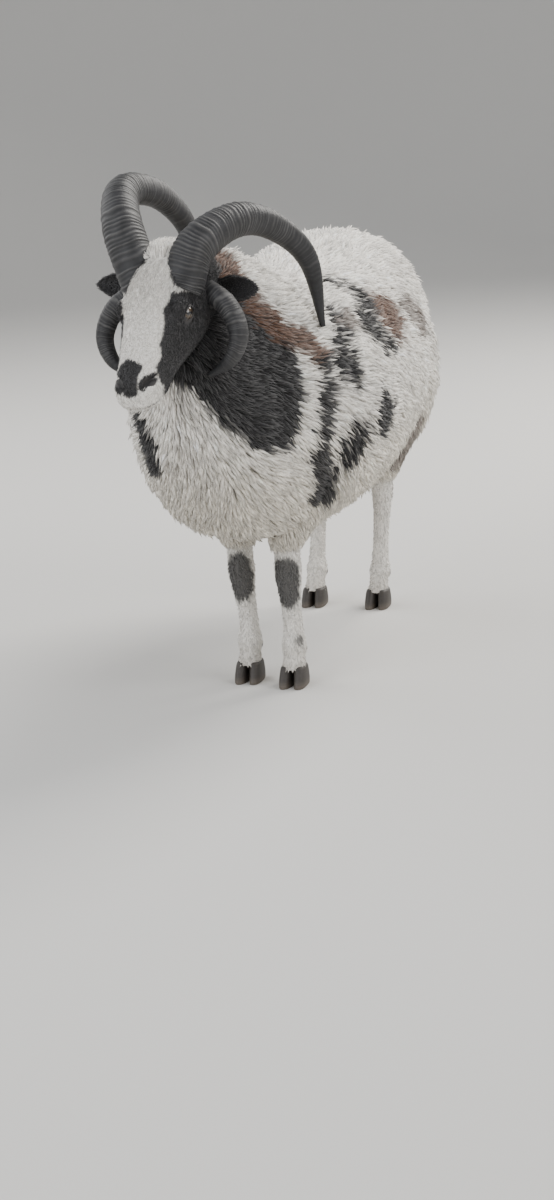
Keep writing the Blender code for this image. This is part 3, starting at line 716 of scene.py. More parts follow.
class Tone(Enum):
    """The colours of the coat."""

    WHITE = (0.83, 0.80, 0.75)
    CREAM = (0.80, 0.75, 0.66)
    GREY = (0.24, 0.21, 0.19)
    BROWN = (0.115, 0.060, 0.038)
    BLACK = (0.018, 0.017, 0.018)
    PINK = (0.56, 0.42, 0.37)
    BARE = (0.030, 0.026, 0.026)


@dataclass(frozen=True)
class Patch:
    """A marking: a chain of balls joined up, each as left, back, up and radius.

    Its strength is how much it hides the colour under it, and its balls may be stretched along the
    ram, because a mark on the flank is seen much foreshortened.
    """

    balls: tuple[tuple[float, float, float, float], ...]
    tone: Tone = Tone.BLACK
    strength: float = 1.0
    stretch: float = 1.0

    def reach(self, points: Array) -> Array:
        """How far inside the chain each place is, with the balls stretched along the ram.

        Args:
            points: Places, one in each row.

        Returns:
            Lengths, above 0 inside the chain.
        """
        rows = np.array(self.balls)
        rows[:, 1] /= self.stretch
        points = points * np.array([1.0, 1.0 / self.stretch, 1.0])
        best = rows[0, 3] - np.linalg.norm(points - rows[0, :3], axis=1)
        for first, second in zip(rows, rows[1:]):
            step = second[:3] - first[:3]
            share = np.clip((points - first[:3]) @ step / (step @ step), 0.0, 1.0)
            away = np.linalg.norm(points - first[:3] - share[:, None] * step, axis=1)
            best = np.maximum(best, first[3] + share * (second[3] - first[3]) - away)
        return best


class Markings:
    """The colours of the coat at any place of the ram."""

    wool = (
        Patch((
            (0.000, -0.480, 0.740, 0.036), (0.016, -0.497, 0.718, 0.042), (0.053, -0.502, 0.679, 0.038),
            (0.079, -0.478, 0.634, 0.038), (0.098, -0.458, 0.600, 0.046), (0.110, -0.450, 0.558, 0.048),
            (0.112, -0.456, 0.520, 0.050), (0.104, -0.470, 0.480, 0.046),
        )),
        Patch((
            (-0.060, -0.575, 0.650, 0.045), (-0.020, -0.590, 0.620, 0.048), (0.010, -0.585, 0.600, 0.052),
            (0.040, -0.562, 0.590, 0.050), (0.050, -0.552, 0.552, 0.042), (0.071, -0.526, 0.513, 0.040),
            (0.092, -0.493, 0.479, 0.038),
        )),
        Patch(((0.060, -0.500, 0.620, 0.070), (0.080, -0.490, 0.560, 0.055))),
        Patch(((0.100, -0.478, 0.500, 0.034), (0.078, -0.509, 0.474, 0.018))),
        Patch((
            (0.000, -0.410, 0.748, 0.016), (0.020, -0.425, 0.738, 0.018), (0.048, -0.452, 0.712, 0.019),
            (0.078, -0.453, 0.660, 0.021), (0.102, -0.420, 0.626, 0.020), (0.124, -0.387, 0.602, 0.018),
            (0.144, -0.352, 0.585, 0.017), (0.158, -0.343, 0.560, 0.014),
        ), tone=Tone.BROWN, strength=0.95),
        Patch((
            (0.160, -0.341, 0.555, 0.012), (0.164, -0.346, 0.519, 0.012), (0.163, -0.358, 0.488, 0.013),
            (0.160, -0.368, 0.460, 0.014), (0.155, -0.376, 0.431, 0.012), (0.148, -0.382, 0.405, 0.014),
            (0.154, -0.357, 0.370, 0.018), (0.135, -0.358, 0.334, 0.016),
        ), strength=0.98),
        Patch((
            (0.145, -0.239, 0.634, 0.006), (0.158, -0.243, 0.617, 0.009), (0.167, -0.253, 0.600, 0.010),
            (0.173, -0.274, 0.579, 0.010), (0.179, -0.283, 0.556, 0.010), (0.187, -0.279, 0.530, 0.010),
            (0.191, -0.275, 0.509, 0.006),
        ), stretch=2.5),
        Patch((
            (0.164, -0.212, 0.614, 0.009), (0.172, -0.196, 0.605, 0.013),
        ), tone=Tone.GREY, strength=0.85, stretch=2.5),
        Patch((
            (0.163, -0.033, 0.624, 0.014), (0.181, -0.005, 0.599, 0.024), (0.192, -0.010, 0.578, 0.023),
            (0.199, -0.005, 0.558, 0.014),
        ), tone=Tone.BROWN, strength=0.95, stretch=2.5),
        Patch((
            (0.111, -0.109, 0.666, 0.006), (0.129, -0.091, 0.655, 0.007), (0.145, -0.066, 0.642, 0.009),
            (0.163, -0.083, 0.623, 0.013), (0.176, -0.134, 0.604, 0.015), (0.188, -0.134, 0.580, 0.013),
            (0.199, -0.102, 0.555, 0.012), (0.204, -0.065, 0.541, 0.008),
        ), strength=0.98, stretch=2.5),
        Patch((
            (0.181, 0.127, 0.602, 0.010), (0.189, 0.147, 0.583, 0.015), (0.195, 0.192, 0.559, 0.015),
            (0.198, 0.195, 0.539, 0.011),
        ), tone=Tone.GREY, strength=0.95, stretch=2.5),
        Patch((
            (0.210, -0.175, 0.473, 0.011), (0.211, -0.167, 0.453, 0.016), (0.210, -0.170, 0.433, 0.015),
            (0.208, -0.185, 0.422, 0.009),
        ), stretch=2.5),
        Patch((
            (0.195, -0.276, 0.438, 0.009), (0.191, -0.281, 0.421, 0.013), (0.186, -0.296, 0.402, 0.014),
            (0.179, -0.321, 0.388, 0.010),
        ), stretch=2.5),
        Patch((
            (0.164, 0.241, 0.363, 0.016), (0.152, 0.267, 0.332, 0.016), (0.132, 0.298, 0.296, 0.014),
            (0.120, 0.295, 0.274, 0.012),
        ), tone=Tone.GREY, strength=0.95, stretch=1.6),
        Patch((
            (0.059, -0.186, 0.686, 0.010), (0.097, -0.261, 0.673, 0.011), (0.113, -0.282, 0.661, 0.009),
        ), tone=Tone.GREY, strength=0.30),
        Patch((
            (-0.105, -0.530, 0.484, 0.022), (-0.096, -0.530, 0.455, 0.024), (-0.100, -0.505, 0.417, 0.020),
        )),
        Patch((
            (-0.050, -0.520, 0.700, 0.040), (-0.085, -0.495, 0.650, 0.046), (-0.105, -0.455, 0.600, 0.048),
            (-0.115, -0.440, 0.550, 0.046), (-0.112, -0.445, 0.505, 0.032),
        )),
        Patch((
            (-0.050, -0.432, 0.732, 0.022), (-0.110, -0.410, 0.655, 0.026), (-0.142, -0.375, 0.600, 0.022),
        ), tone=Tone.BROWN, strength=0.97),
        Patch((
            (-0.160, -0.330, 0.590, 0.013), (-0.170, -0.345, 0.520, 0.019), (-0.166, -0.350, 0.455, 0.023),
            (-0.150, -0.350, 0.390, 0.018),
        ), strength=0.98),
        Patch((
            (-0.120, -0.150, 0.668, 0.012), (-0.160, -0.110, 0.635, 0.028), (-0.190, -0.090, 0.590, 0.034),
            (-0.205, -0.110, 0.540, 0.018),
        ), tone=Tone.BROWN, strength=0.95),
        Patch((
            (-0.150, -0.115, 0.640, 0.009), (-0.182, -0.088, 0.600, 0.014), (-0.200, -0.105, 0.556, 0.010),
        ), strength=0.98),
        Patch((
            (-0.205, 0.010, 0.560, 0.010), (-0.214, 0.030, 0.500, 0.020), (-0.212, 0.020, 0.440, 0.013),
        ), strength=0.98),
        Patch((
            (-0.205, -0.200, 0.440, 0.020), (-0.196, -0.225, 0.395, 0.026), (-0.180, -0.255, 0.350, 0.013),
        ), strength=0.98),
        Patch((
            (-0.180, 0.150, 0.600, 0.011), (-0.197, 0.190, 0.550, 0.024), (-0.200, 0.215, 0.490, 0.014),
        ), tone=Tone.GREY, strength=0.8),
        Patch((
            (-0.190, 0.240, 0.400, 0.014), (-0.170, 0.270, 0.350, 0.020), (-0.140, 0.290, 0.300, 0.014),
        ), strength=0.95),
        Patch(((-0.060, 0.350, 0.715, 0.016), (-0.110, 0.370, 0.670, 0.022)), tone=Tone.GREY, strength=0.6),
    )
    leg = (
        Patch((
            (0.056, -0.318, 0.204, 0.024), (0.056, -0.318, 0.180, 0.027), (0.056, -0.308, 0.157, 0.020),
        ), strength=0.92),
        Patch((
            (-0.032, -0.296, 0.209, 0.023), (-0.032, -0.294, 0.187, 0.026), (-0.032, -0.286, 0.164, 0.020),
        ), strength=0.92),
        Patch(((0.070, -0.299, 0.080, 0.008),), strength=0.8),
        Patch(((0.090, 0.330, 0.215, 0.016),), tone=Tone.GREY, strength=0.8),
        Patch(((-0.070, 0.340, 0.210, 0.018),), tone=Tone.GREY, strength=0.8),
    )
    face_white = (
        Patch((
            (0.002, -0.046, 0.043, 0.020), (-0.004, -0.063, 0.021, 0.034), (-0.006, -0.076, 0.004, 0.040),
            (-0.009, -0.090, -0.014, 0.035), (-0.002, -0.106, -0.034, 0.034),
            (0.000, -0.121, -0.052, 0.0345), (0.000, -0.140, -0.081, 0.0355),
            (0.000, -0.155, -0.108, 0.034), (0.000, -0.160, -0.128, 0.042), (0.000, -0.148, -0.150, 0.042),
        ), tone=Tone.WHITE),
        Patch((
            (0.014, -0.073, 0.008, 0.0080), (0.032, -0.069, 0.004, 0.0045), (0.047, -0.053, 0.007, 0.0040),
            (0.057, -0.031, 0.013, 0.0040), (0.060, -0.015, 0.022, 0.0040),
        ), tone=Tone.WHITE, strength=0.95),
        Patch((
            (-0.022, -0.072, 0.000, 0.010), (-0.047, -0.060, -0.008, 0.006), (-0.058, -0.036, 0.002, 0.005),
        ), tone=Tone.WHITE, strength=0.95),
    )
    face_dark = (
        Patch((
            (0.001, -0.157, -0.109, 0.0100), (0.006, -0.152, -0.101, 0.0085),
            (-0.012, -0.150, -0.097, 0.0095), (-0.008, -0.156, -0.105, 0.0150),
            (-0.009, -0.160, -0.116, 0.0180), (-0.005, -0.166, -0.130, 0.0150),
        )),
        Patch((
            (-0.022, -0.151, -0.100, 0.0095), (-0.028, -0.154, -0.116, 0.0130),
            (-0.024, -0.160, -0.128, 0.0110),
        )),
        Patch((
            (0.016, -0.162, -0.126, 0.0065), (0.022, -0.157, -0.120, 0.0085),
            (0.029, -0.151, -0.118, 0.0080), (0.033, -0.144, -0.115, 0.006),
        )),
        Patch((
            (-0.018, -0.162, -0.126, 0.0065), (-0.024, -0.157, -0.120, 0.0085),
            (-0.030, -0.151, -0.118, 0.0080),
        )),
    )

    def __init__(self, head: HeadForm) -> None:
        """Keeps the head's form, for its own frame."""
        self.head = head

    @staticmethod
    def marked(
        base: Array, points: Array, patches: Sequence[Patch], ragged: Array, soft: float
    ) -> Array:
        """Lays patches over a base colour, one after another.

        Args:
            base: The colour under the patches at each place.
            points: The places.
            patches: The patches, the last on top.
            ragged: How far each place's edge wanders.
            soft: Half the width of an edge.

        Returns:
            A colour for each place.
        """
        colours = base
        for patch in patches:
            weight = patch.strength * smooth_step(-soft, soft, patch.reach(points) + ragged)
            colours = colours * (1.0 - weight[:, None]) + np.array(patch.tone.value) * weight[:, None]
        return colours

    def fleece(self, points: Array) -> Array:
        """The wool's colour at places on the tips' outline.

        Args:
            points: Places, one in each row.

        Returns:
            A colour for each place.
        """
        soil = (0.5 + 0.5 * waves(points, 0.22, 6))[:, None]
        low = smooth_step(0.50, 0.30, points[:, 2])[:, None]
        light = np.array(Tone.WHITE.value) * (1.0 - 0.06 * soil)
        light = light * (1.0 - low) + np.array(Tone.CREAM.value) * (0.93 - 0.05 * soil) * low
        ragged = 0.0055 + 0.005 * waves(points, 0.045, 3) + 0.003 * waves(points, 0.014, 4)
        return self.marked(light, points, self.wool, ragged, 0.006)

    def legs(self, points: Array) -> Array:
        """The short hair's colour on the legs.

        Args:
            points: Places, one in each row.

        Returns:
            A colour for each place.
        """
        ragged = 0.003 * waves(points, 0.02, 12)
        base = np.tile(np.array(Tone.WHITE.value) * 0.97, (len(points), 1))
        colours = self.marked(base, points, self.leg, ragged, 0.004)
        soiled = 0.35 * smooth_step(0.075, 0.035, points[:, 2])[:, None]
        return colours * (1.0 - soiled) + np.array([0.35, 0.31, 0.26]) * soiled

    def face(self, points: Array) -> Array:
        """The short hair's colour on the head and ears.

        Args:
            points: Places, one in each row.

        Returns:
            A colour for each place.
        """
        own = self.head.to_head(points)
        ragged = 0.0020 * waves(own, 0.02, 8) + 0.0010 * waves(own, 0.008, 9)
        base = np.tile(np.array(Tone.BLACK.value) * 1.2, (len(points), 1))
        colours = self.marked(base, own, self.face_white, ragged, 0.0022)
        return self.marked(colours, own, self.face_dark, ragged * 0.5, 0.0016)


class Finish:
    """Makes node materials by short calls."""

    def __init__(self, name: str) -> None:
        """Starts a material with one plain shader.

        Args:
            name: The material's name.
        """
        self.material = bpy.data.materials.new(name)
        self.material.use_nodes = True
        self.tree = self.material.node_tree
        self.shader = self.tree.nodes["Principled BSDF"]

    def node(self, kind: str, **values: object) -> bpy.types.Node:
        """Adds a node and sets its sockets and properties by name.

        Args:
            kind: The node's type.
            values: Sockets and properties by name.

        Returns:
            The node.
        """
        made = self.tree.nodes.new(kind)
        for key, value in values.items():
            if key in made.inputs:
                made.inputs[key].default_value = value
            else:
                setattr(made, key, value)
        return made

    def link(self, start: bpy.types.NodeSocket, end: bpy.types.NodeSocket) -> None:
        """Joins two sockets."""
        self.tree.links.new(start, end)

    def set(self, **values: object) -> None:
        """Sets the shader's own sockets; an underscore in a name stands for a space."""
        for key, value in values.items():
            self.shader.inputs[key.replace("_", " ")].default_value = value

    def noise(self, scale: float, detail: float = 4.0) -> bpy.types.Node:
        """A noise pattern on Object coordinates.

        Args:
            scale: How fine the pattern is.
            detail: How many finer layers it has.

        Returns:
            The node.
        """
        place = self.node("ShaderNodeTexCoord")
        noise = self.node("ShaderNodeTexNoise", Scale=scale, Detail=detail)
        self.link(place.outputs["Object"], noise.inputs["Vector"])
        return noise

    def bump(self, height: bpy.types.NodeSocket, strength: float, distance: float) -> None:
        """Raises the surface by a height pattern.

        Args:
            height: The pattern's socket.
            strength: How strong it is.
            distance: How high it is.
        """
        bump = self.node("ShaderNodeBump", Strength=strength, Distance=distance)
        self.link(height, bump.inputs["Height"])
        self.link(bump.outputs["Normal"], self.shader.inputs["Normal"])

    def painted(self, amount: float, pattern: bpy.types.Node) -> None:
        """Colours the surface by its stored colour, varied a little by a pattern.

        Args:
            amount: How much the colour varies.
            pattern: The node that varies it.
        """
        colour = self.node("ShaderNodeAttribute", attribute_name=COLOUR_NAME)
        vary = self.node("ShaderNodeMapRange")
        vary.inputs["To Min"].default_value = 1.0 - amount
        vary.inputs["To Max"].default_value = 1.0 + amount
        self.link(pattern.outputs["Fac"], vary.inputs["Value"])
        scale = self.node("ShaderNodeVectorMath", operation="SCALE")
        self.link(colour.outputs["Color"], scale.inputs[0])
        self.link(vary.outputs["Result"], scale.inputs["Scale"])
        self.link(scale.outputs["Vector"], self.shader.inputs["Base Color"])


@dataclass(frozen=True)
class WoolFinish:
    """Dull, soft wool."""

    roughness: float = 0.92
    sheen: float = 0.12
    variation: float = 0.18
    grain: float = 260.0

    def make(self) -> bpy.types.Material:
        """Builds the material.

        Returns:
            The material.
        """
        finish = Finish("wool")
        finish.painted(self.variation, finish.noise(self.grain, 3.0))
        finish.set(Roughness=self.roughness, Sheen_Weight=self.sheen, Sheen_Roughness=0.5)
        return finish.material


@dataclass(frozen=True)
class ShortHairFinish:
    """Short hair that lies flat, with a slight gloss."""

    name: str = "short_hair"
    roughness: float = 0.62
    sheen: float = 0.15
    variation: float = 0.22
    grain: float = 900.0
    relief: float = 0.0012

    def make(self) -> bpy.types.Material:
        """Builds the material.

        Returns:
            The material.
        """
        finish = Finish(self.name)
        grain = finish.noise(self.grain, 5.0)
        finish.painted(self.variation, grain)
        finish.set(Roughness=self.roughness, Sheen_Weight=self.sheen)
        finish.bump(grain.outputs["Fac"], 0.5, self.relief)
        return finish.material


@dataclass(frozen=True)
class HornFinish:
    """Dark ringed horn, paler on its ridges."""

    groove: Triple = (0.015, 0.015, 0.017)
    ridge: Triple = (0.070, 0.068, 0.067)
    roughness: float = 0.58
    variation: float = 0.30
    relief: float = 0.0008

    def make(self) -> bpy.types.Material:
        """Builds the material.

        Returns:
            The material.
        """
        finish = Finish("ringed_horn")
        finish.painted(self.variation, finish.noise(140.0, 6.0))
        finish.set(Roughness=self.roughness)
        finish.bump(finish.noise(700.0, 6.0).outputs["Fac"], 0.35, self.relief)
        return finish.material


@dataclass(frozen=True)
class HoofFinish:
    """Dull dark hoof with soil near the sole."""

    horn: Triple = (0.042, 0.036, 0.032)
    soil: Triple = (0.11, 0.092, 0.074)
    roughness: float = 0.6
    variation: float = 0.30
    relief: float = 0.0008

    def make(self) -> bpy.types.Material:
        """Builds the material.

        Returns:
            The material.
        """
        finish = Finish("hoof_horn")
        finish.painted(self.variation, finish.noise(220.0, 5.0))
        finish.set(Roughness=self.roughness)
        finish.bump(finish.noise(500.0, 5.0).outputs["Fac"], 0.4, self.relief)
        return finish.material


@dataclass(frozen=True)
class EyeFinish:
    """A wet, glossy eye of dark amber."""

    iris: Triple = (0.070, 0.038, 0.013)
    rim: Triple = (0.020, 0.014, 0.010)
    pupil: Triple = (0.003, 0.003, 0.004)
    roughness: float = 0.06

    def make(self) -> bpy.types.Material:
        """Builds the material.

        Returns:
            The material.
        """
        finish = Finish("wet_eye")
        finish.painted(0.12, finish.noise(1500.0, 3.0))
        finish.set(Roughness=self.roughness, Coat_Weight=1.0, Coat_Roughness=0.02)
        return finish.material


@dataclass(frozen=True)
class FloorFinish:
    """A plain pale studio floor."""

    colour: Triple = (0.62, 0.61, 0.59)

    def make(self) -> bpy.types.Material:
        """Builds the material.

        Returns:
            The material.
        """
        finish = Finish("pale_floor")
        finish.set(Base_Color=(*self.colour, 1.0), Roughness=0.85)
        return finish.material


@dataclass
class Sculpt:
    """A soft push on the head's surface, mirrored to both sides.

    The place is the distance down the face, the depth under its profile and the distance from the
    middle. The push is along the surface's own way out, and stretch makes it longer along the face.
    """

    along: float
    depth: float
    across: float
    radius: float
    push: float
    stretch: float = 1.0


@dataclass
class Skin:
    """One skin for all the flesh: trunk, neck, tail, legs, scrotum, head and ears."""

    body: Body
    head: HeadForm
    markings: Markings
    trunk_voxel: float = 0.0085
    head_voxel: float = 0.0019
    hair_depth: float = 0.0008
    # Painted shade: the skin under the wool gets this share of the fleece's colour, a little darker, as shade
    # down among the locks.
    shade: float = 0.95
    leg_top: float = 0.255
    ear_half: float = 0.0275
    ear_thickness: float = 0.0028
    nostril_depth: float = 0.0100
    nostril_half: float = 0.0050
    mouth_depth: float = 0.0032
    upper_lid: float = 0.0021
    lower_lid: float = 0.0016

    def trunk(self) -> Piece:
        """The trunk under the wool, with thighs, shoulders and tail.

        Returns:
            The closed mesh.
        """
        parts = [self.body.trunk.mesh(40, 36, coat=1.0)]
        parts += [limb.mesh(16, 20, coat=1.0) for limb in self.body.haunches + self.body.shoulders]
        parts.append(self.body.tail.mesh(16, 14, coat=1.0))
        return relaxed(remeshed(joined(parts, "ram_skin"), self.trunk_voxel), 3)

    def limbs(self) -> list[Piece]:
        """The bare legs and the scrotum.

        Returns:
            Four legs and the scrotum.
        """
        made = []
        turn = Matrix.Rotation(math.radians(-25.0), 4, "X") @ Matrix.Diagonal((0.0062, 0.0072, 0.0102, 1.0))
        for corner, loft in self.body.legs.items():
            leg = add_object(loft.mesh(64, 24, sunk=self.hair_depth), f"{corner}_leg")
            claws = []
            for place in self.dewclaws(corner):
                bm = bmesh.new()
                matrix = Matrix.Translation(place) @ turn
                bmesh.ops.create_uvsphere(bm, u_segments=16, v_segments=10, radius=1.0, matrix=matrix)
                claws.append(add_object(bm, "dewclaw"))
            made.append(combine(leg, "UNION", claws))
        made.append(add_object(self.body.scrotum.mesh(24, 24, sunk=self.hair_depth), "scrotum_skin"))
        return made

    @staticmethod
    def dewclaws(corner: str) -> list[Triple]:
        """The middles of a leg's two dewclaws.

        Args:
            corner: Which leg.

        Returns:
            Two places in the maker's frame.
        """
        x, y = FOOT[corner]
        behind = 0.026 if corner.startswith("front") else 0.040
        return [(x + 0.0105 * side.value, y + behind, 0.058) for side in Side]

    def bare_head(self) -> Piece:
        """The head with brows, lips and jaw, remeshed finely and shaped by soft pushes.

        Returns:
            The head, in its own frame.
        """
        parts = [self.head.loft.mesh(60, 48, sunk=0.0006)]
        for side in Side:
            bm = bmesh.new()
            eye = Vector(EYE_PLACE)
            place = Matrix.Translation(((eye.x - 0.003) * side.value, eye.y, eye.z))
            turn = Matrix.Rotation(math.radians(FACE_SLOPE), 4, "X")
            size = Matrix.Diagonal((0.0160, 0.0215, 0.0280, 1.0))
            brow = place @ turn @ size
            bmesh.ops.create_uvsphere(bm, u_segments=32, v_segments=20, radius=1.0, matrix=brow)
            parts.append(bm)
        head = relaxed(remeshed(joined(parts, "head_skin"), self.head_voxel), 6)
        self.shape(head)
        return head

    def touches(self) -> list[Sculpt]:
        """The pushes that give the head its bones, folds and muzzle.

        Returns:
            The pushes.
        """
        return [
            Sculpt(0.070, 0.045, 0.060, 0.020, -0.0030, 1.4),
            Sculpt(0.105, 0.058, 0.050, 0.016, 0.0022, 2.2),
            Sculpt(0.135, 0.040, 0.042, 0.018, -0.0028, 2.0),
            Sculpt(0.020, 0.095, 0.062, 0.030, 0.0030, 1.2),
            Sculpt(0.010, 0.050, 0.062, 0.016, -0.0025),
            Sculpt(0.205, 0.016, 0.028, 0.010, 0.0022, 1.3),
            Sculpt(0.224, 0.016, 0.000, 0.005, -0.0014, 2.2),
            Sculpt(0.214, 0.052, 0.026, 0.010, 0.0016, 1.6),
            Sculpt(0.190, 0.068, 0.020, 0.014, 0.0020, 1.4),
            Sculpt(0.120, 0.004, 0.020, 0.012, 0.0012, 4.0),
            Sculpt(0.214, 0.064, 0.006, 0.018, -0.0060, 1.2),
            Sculpt(0.192, 0.074, 0.004, 0.018, -0.0035, 1.5),
        ]

    def shape(self, head: Piece) -> None:
        """Applies the pushes and cuts in the line of the mouth and the nostrils.

        Args:
            head: The bare head, which changes.
        """
        points = vertex_array(head.data)
        normals = normal_array(head.data)
        along, depth, across = self.head.face_rows(points)
        move = np.zeros(len(points))
        for touch in self.touches():
            away = np.sqrt(
                ((along - touch.along) / touch.stretch) ** 2
                + (depth - touch.depth) ** 2
                + (np.abs(across) - touch.across) ** 2
            )
            move += touch.push * np.exp(-((away / touch.radius) ** 2))
        move += self.mouth(along, depth)
        move += self.nostrils(along, depth, across)
        set_vertices(head.data, points + normals * move[:, None])

    @staticmethod
    def mouth_gap(along: Array, depth: Array) -> Array:
        """How far under the line between the lips each place is."""
        return depth - 0.0620 + 0.0240 * np.clip((along - 0.172) / 0.054, 0.0, 1.0)

    def mouth(self, along: Array, depth: Array) -> Array:
        """The groove between the lips and the swell of each lip.

        Args:
            along: Distances down the face.
            depth: Depths under the profile.

        Returns:
            How far each place moves out.
        """
        gap = self.mouth_gap(along, depth)
        within = smooth_step(0.166, 0.178, along)
        groove = -self.mouth_depth * np.exp(-((gap / 0.0017) ** 2))
        upper_lip = 0.0012 * np.exp(-(((gap + 0.0052) / 0.0034) ** 2))
        lower_lip = 0.0014 * np.exp(-(((gap - 0.0055) / 0.0036) ** 2))
        return within * (groove + (upper_lip + lower_lip))

    def nostrils(self, along: Array, depth: Array, across: Array) -> Array:
        """The slanting comma of each nostril, with its raised wing.

        Args:
            along: Distances down the face.
            depth: Depths under the profile.
            across: Distances to the left of the middle.

        Returns:
            How far each place moves out.
        """
        total = np.zeros(len(along))
        for share in np.linspace(0.0, 1.0, 11):
            down = along - (0.2110 - 0.0230 * share)
            under = depth - (0.0165 - 0.0050 * math.sin(math.pi * share) + 0.0035 * share)
            aside = np.abs(across) - (0.0145 + 0.0185 * share)
            away = np.sqrt(down**2 + under**2 + (0.8 * aside) ** 2)
            wide = self.nostril_half - 0.0018 * share
            cut = -self.nostril_depth * (1.0 - 0.45 * share) * np.exp(-((away / wide) ** 2))
            total = np.minimum(total, cut)
        wing = 0.0020 * np.exp(-(((along - 0.198) / 0.010) ** 2 + ((depth - 0.006) / 0.005) ** 2))
        return total + wing * smooth_step(0.010, 0.020, np.abs(across))

    @staticmethod
    def eye_frame(side: Side) -> tuple[Vector, Matrix, Matrix]:
        """An eye's middle, the slope of its opening and its turn to the side.

        Args:
            side: Which side of the ram.

        Returns:
            The middle, the slope and the turn, in the head's own frame.
        """
        eye = Vector((EYE_PLACE[0] * side.value, EYE_PLACE[1], EYE_PLACE[2]))
        slope = Matrix.Rotation(math.radians(FACE_SLOPE - 32.0), 3, "X")
        splay = Matrix.Rotation(math.radians(-14.0 * side.value), 3, "Z")
        return eye, slope, splay

    @staticmethod
    def almond(turn: float, half: float, high: float, power: float) -> Vector:
        """A point of an almond outline, which faces along X."""
        up = math.copysign(abs(math.sin(turn)) ** power, math.sin(turn)) * high
        return Vector((0.0, -math.cos(turn) * half, up))

    def eye_opening(self, side: Side) -> Piece:
        """The almond between the lids, with the ball behind it.

        Args:
            side: Which side of the ram.

        Returns:
            The closed mesh to cut with.
        """
        eye, slope, splay = self.eye_frame(side)
        bm = bmesh.new()
        rings = []
        for out_by, scale in ((0.003, 0.55), (0.010, 0.86), (0.0145, 1.0), (0.024, 1.18)):
            ring = bmesh.ops.create_circle(bm, cap_ends=False, radius=1.0, segments=28)["verts"]
            for k, vert in enumerate(ring):
                flat = splay @ (slope @ self.almond(2.0 * math.pi * k / 28, 0.0140, 0.0082, 1.25))
                vert.co = eye + flat * scale + splay @ Vector((side.value * out_by, 0.0, 0.0))
            rings.append(ring)
        bridge_rings(bm, rings)
        opening = add_object(bm, "eye_opening")
        ball = bmesh.new()
        bmesh.ops.create_uvsphere(
            ball, u_segments=40, v_segments=28, radius=EYE_RADIUS + 0.0004, matrix=Matrix.Translation(eye)
        )
        return combine(opening, "UNION", [add_object(ball, "eye_ball_room")])

    def lids(self, side: Side) -> Piece:
        """Rolled rims round the eye.

        Args:
            side: Which side of the ram.

        Returns:
            The closed mesh of both rims.
        """
        eye, slope, splay = self.eye_frame(side)
        count = 40
        route = []
        for k in range(count):
            flat = splay @ (slope @ self.almond(2.0 * math.pi * k / count, 0.0156, 0.0094, 1.15))
            reach = math.sqrt(max((EYE_RADIUS + 0.0006) ** 2 - min(flat.length, 0.0125) ** 2, 0.0))
            route.append(eye + flat + splay @ Vector((side.value * max(reach, 0.0062), 0.0, 0.0)))
        bm = bmesh.new()
        rings = []
        for k in range(count):
            ahead = (route[(k + 1) % count] - route[k - 1]).normalized()
            out = (route[k] - eye).normalized()
            beside = ahead.cross(out).normalized()
            thick = self.upper_lid if math.sin(2.0 * math.pi * k / count) > 0 else self.lower_lid
            ring = bmesh.ops.create_circle(bm, cap_ends=False, radius=1.0, segments=8)["verts"]
            for j, vert in enumerate(ring):
                turn = 2.0 * math.pi * j / 8
                vert.co = route[k] + (out * math.cos(turn) + beside * math.sin(turn)) * thick
            rings.append(ring)
        edges = [ring_edges(ring) for ring in rings]
        for first, second in zip(edges, edges[1:] + edges[:1]):
            bmesh.ops.bridge_loops(bm, edges=first + second)
        bmesh.ops.recalc_face_normals(bm, faces=bm.faces)
        return add_object(bm, "lid_rims")

    def ear(self, side: Side) -> Piece:
        """A leaf rolled into a cup, of even thickness.

        Args:
            side: Which side of the ram.

        Returns:
            The closed mesh.
        """
        root, tip = {
            Side.LEFT: (Vector((0.046, 0.050, -0.004)), Vector((0.127, 0.044, -0.009))),
            Side.RIGHT: (Vector((-0.046, 0.046, 0.000)), Vector((-0.136, 0.030, 0.006))),
        }[side]
        ahead = (tip - root).normalized()
        lean = Vector((0.0, 0.30, 1.0))
        upward = (lean - ahead * ahead.dot(lean)).normalized()
        facing = ahead.cross(upward) * side.value
        bm = bmesh.new()
        columns, rows = 24, 40
        bmesh.ops.create_grid(bm, x_segments=rows, y_segments=columns, size=0.5)
        for vert in bm.verts:
            t = vert.co.x + 0.5
            across = 2.0 * vert.co.y
            half = self.ear_half * min(1.0, 0.34 + 1.4 * t) * max(1.0 - t**3.2, 0.0) ** 0.8 + 0.0008
            reach = math.radians(115.0) * (1.0 - 0.72 * t)
            bend = reach * across
            curl = 0.010 * math.sin(math.pi * t)
            vert.co = (
                root
                + ahead * (tip - root).length * t
                + upward * (half * math.sin(bend) / reach - 0.3 * curl)
                + facing * (half * (1.0 - math.cos(bend)) / reach - 0.5 * curl)
            )
        ear = add_object(bm, "ear_skin")
        thick = ear.modifiers.new("thickness", "SOLIDIFY")
        thick.thickness = self.ear_thickness
        thick.offset = 0.0
        settle(ear)
        bm = bmesh.new()
        bm.from_mesh(ear.data)
        bmesh.ops.recalc_face_normals(bm, faces=bm.faces)
        bm.to_mesh(ear.data)
        bm.free()
        return ear

    def build(self) -> Piece:
        """Makes the whole skin and paints it.

        Returns:
            The skin as one piece.
        """
        head = self.bare_head()
        head = combine(head, "UNION", [self.lids(side) for side in Side])
        head = combine(head, "DIFFERENCE", [self.eye_opening(side) for side in Side])
        head = combine(head, "UNION", [self.ear(side) for side in Side])
        head.data.transform(self.head.place)
        skin = combine(self.trunk(), "UNION", self.limbs() + [head])
        skin.name = "ram_skin"
        self.colour(skin)
        skin.data.shade_smooth()
        return skin

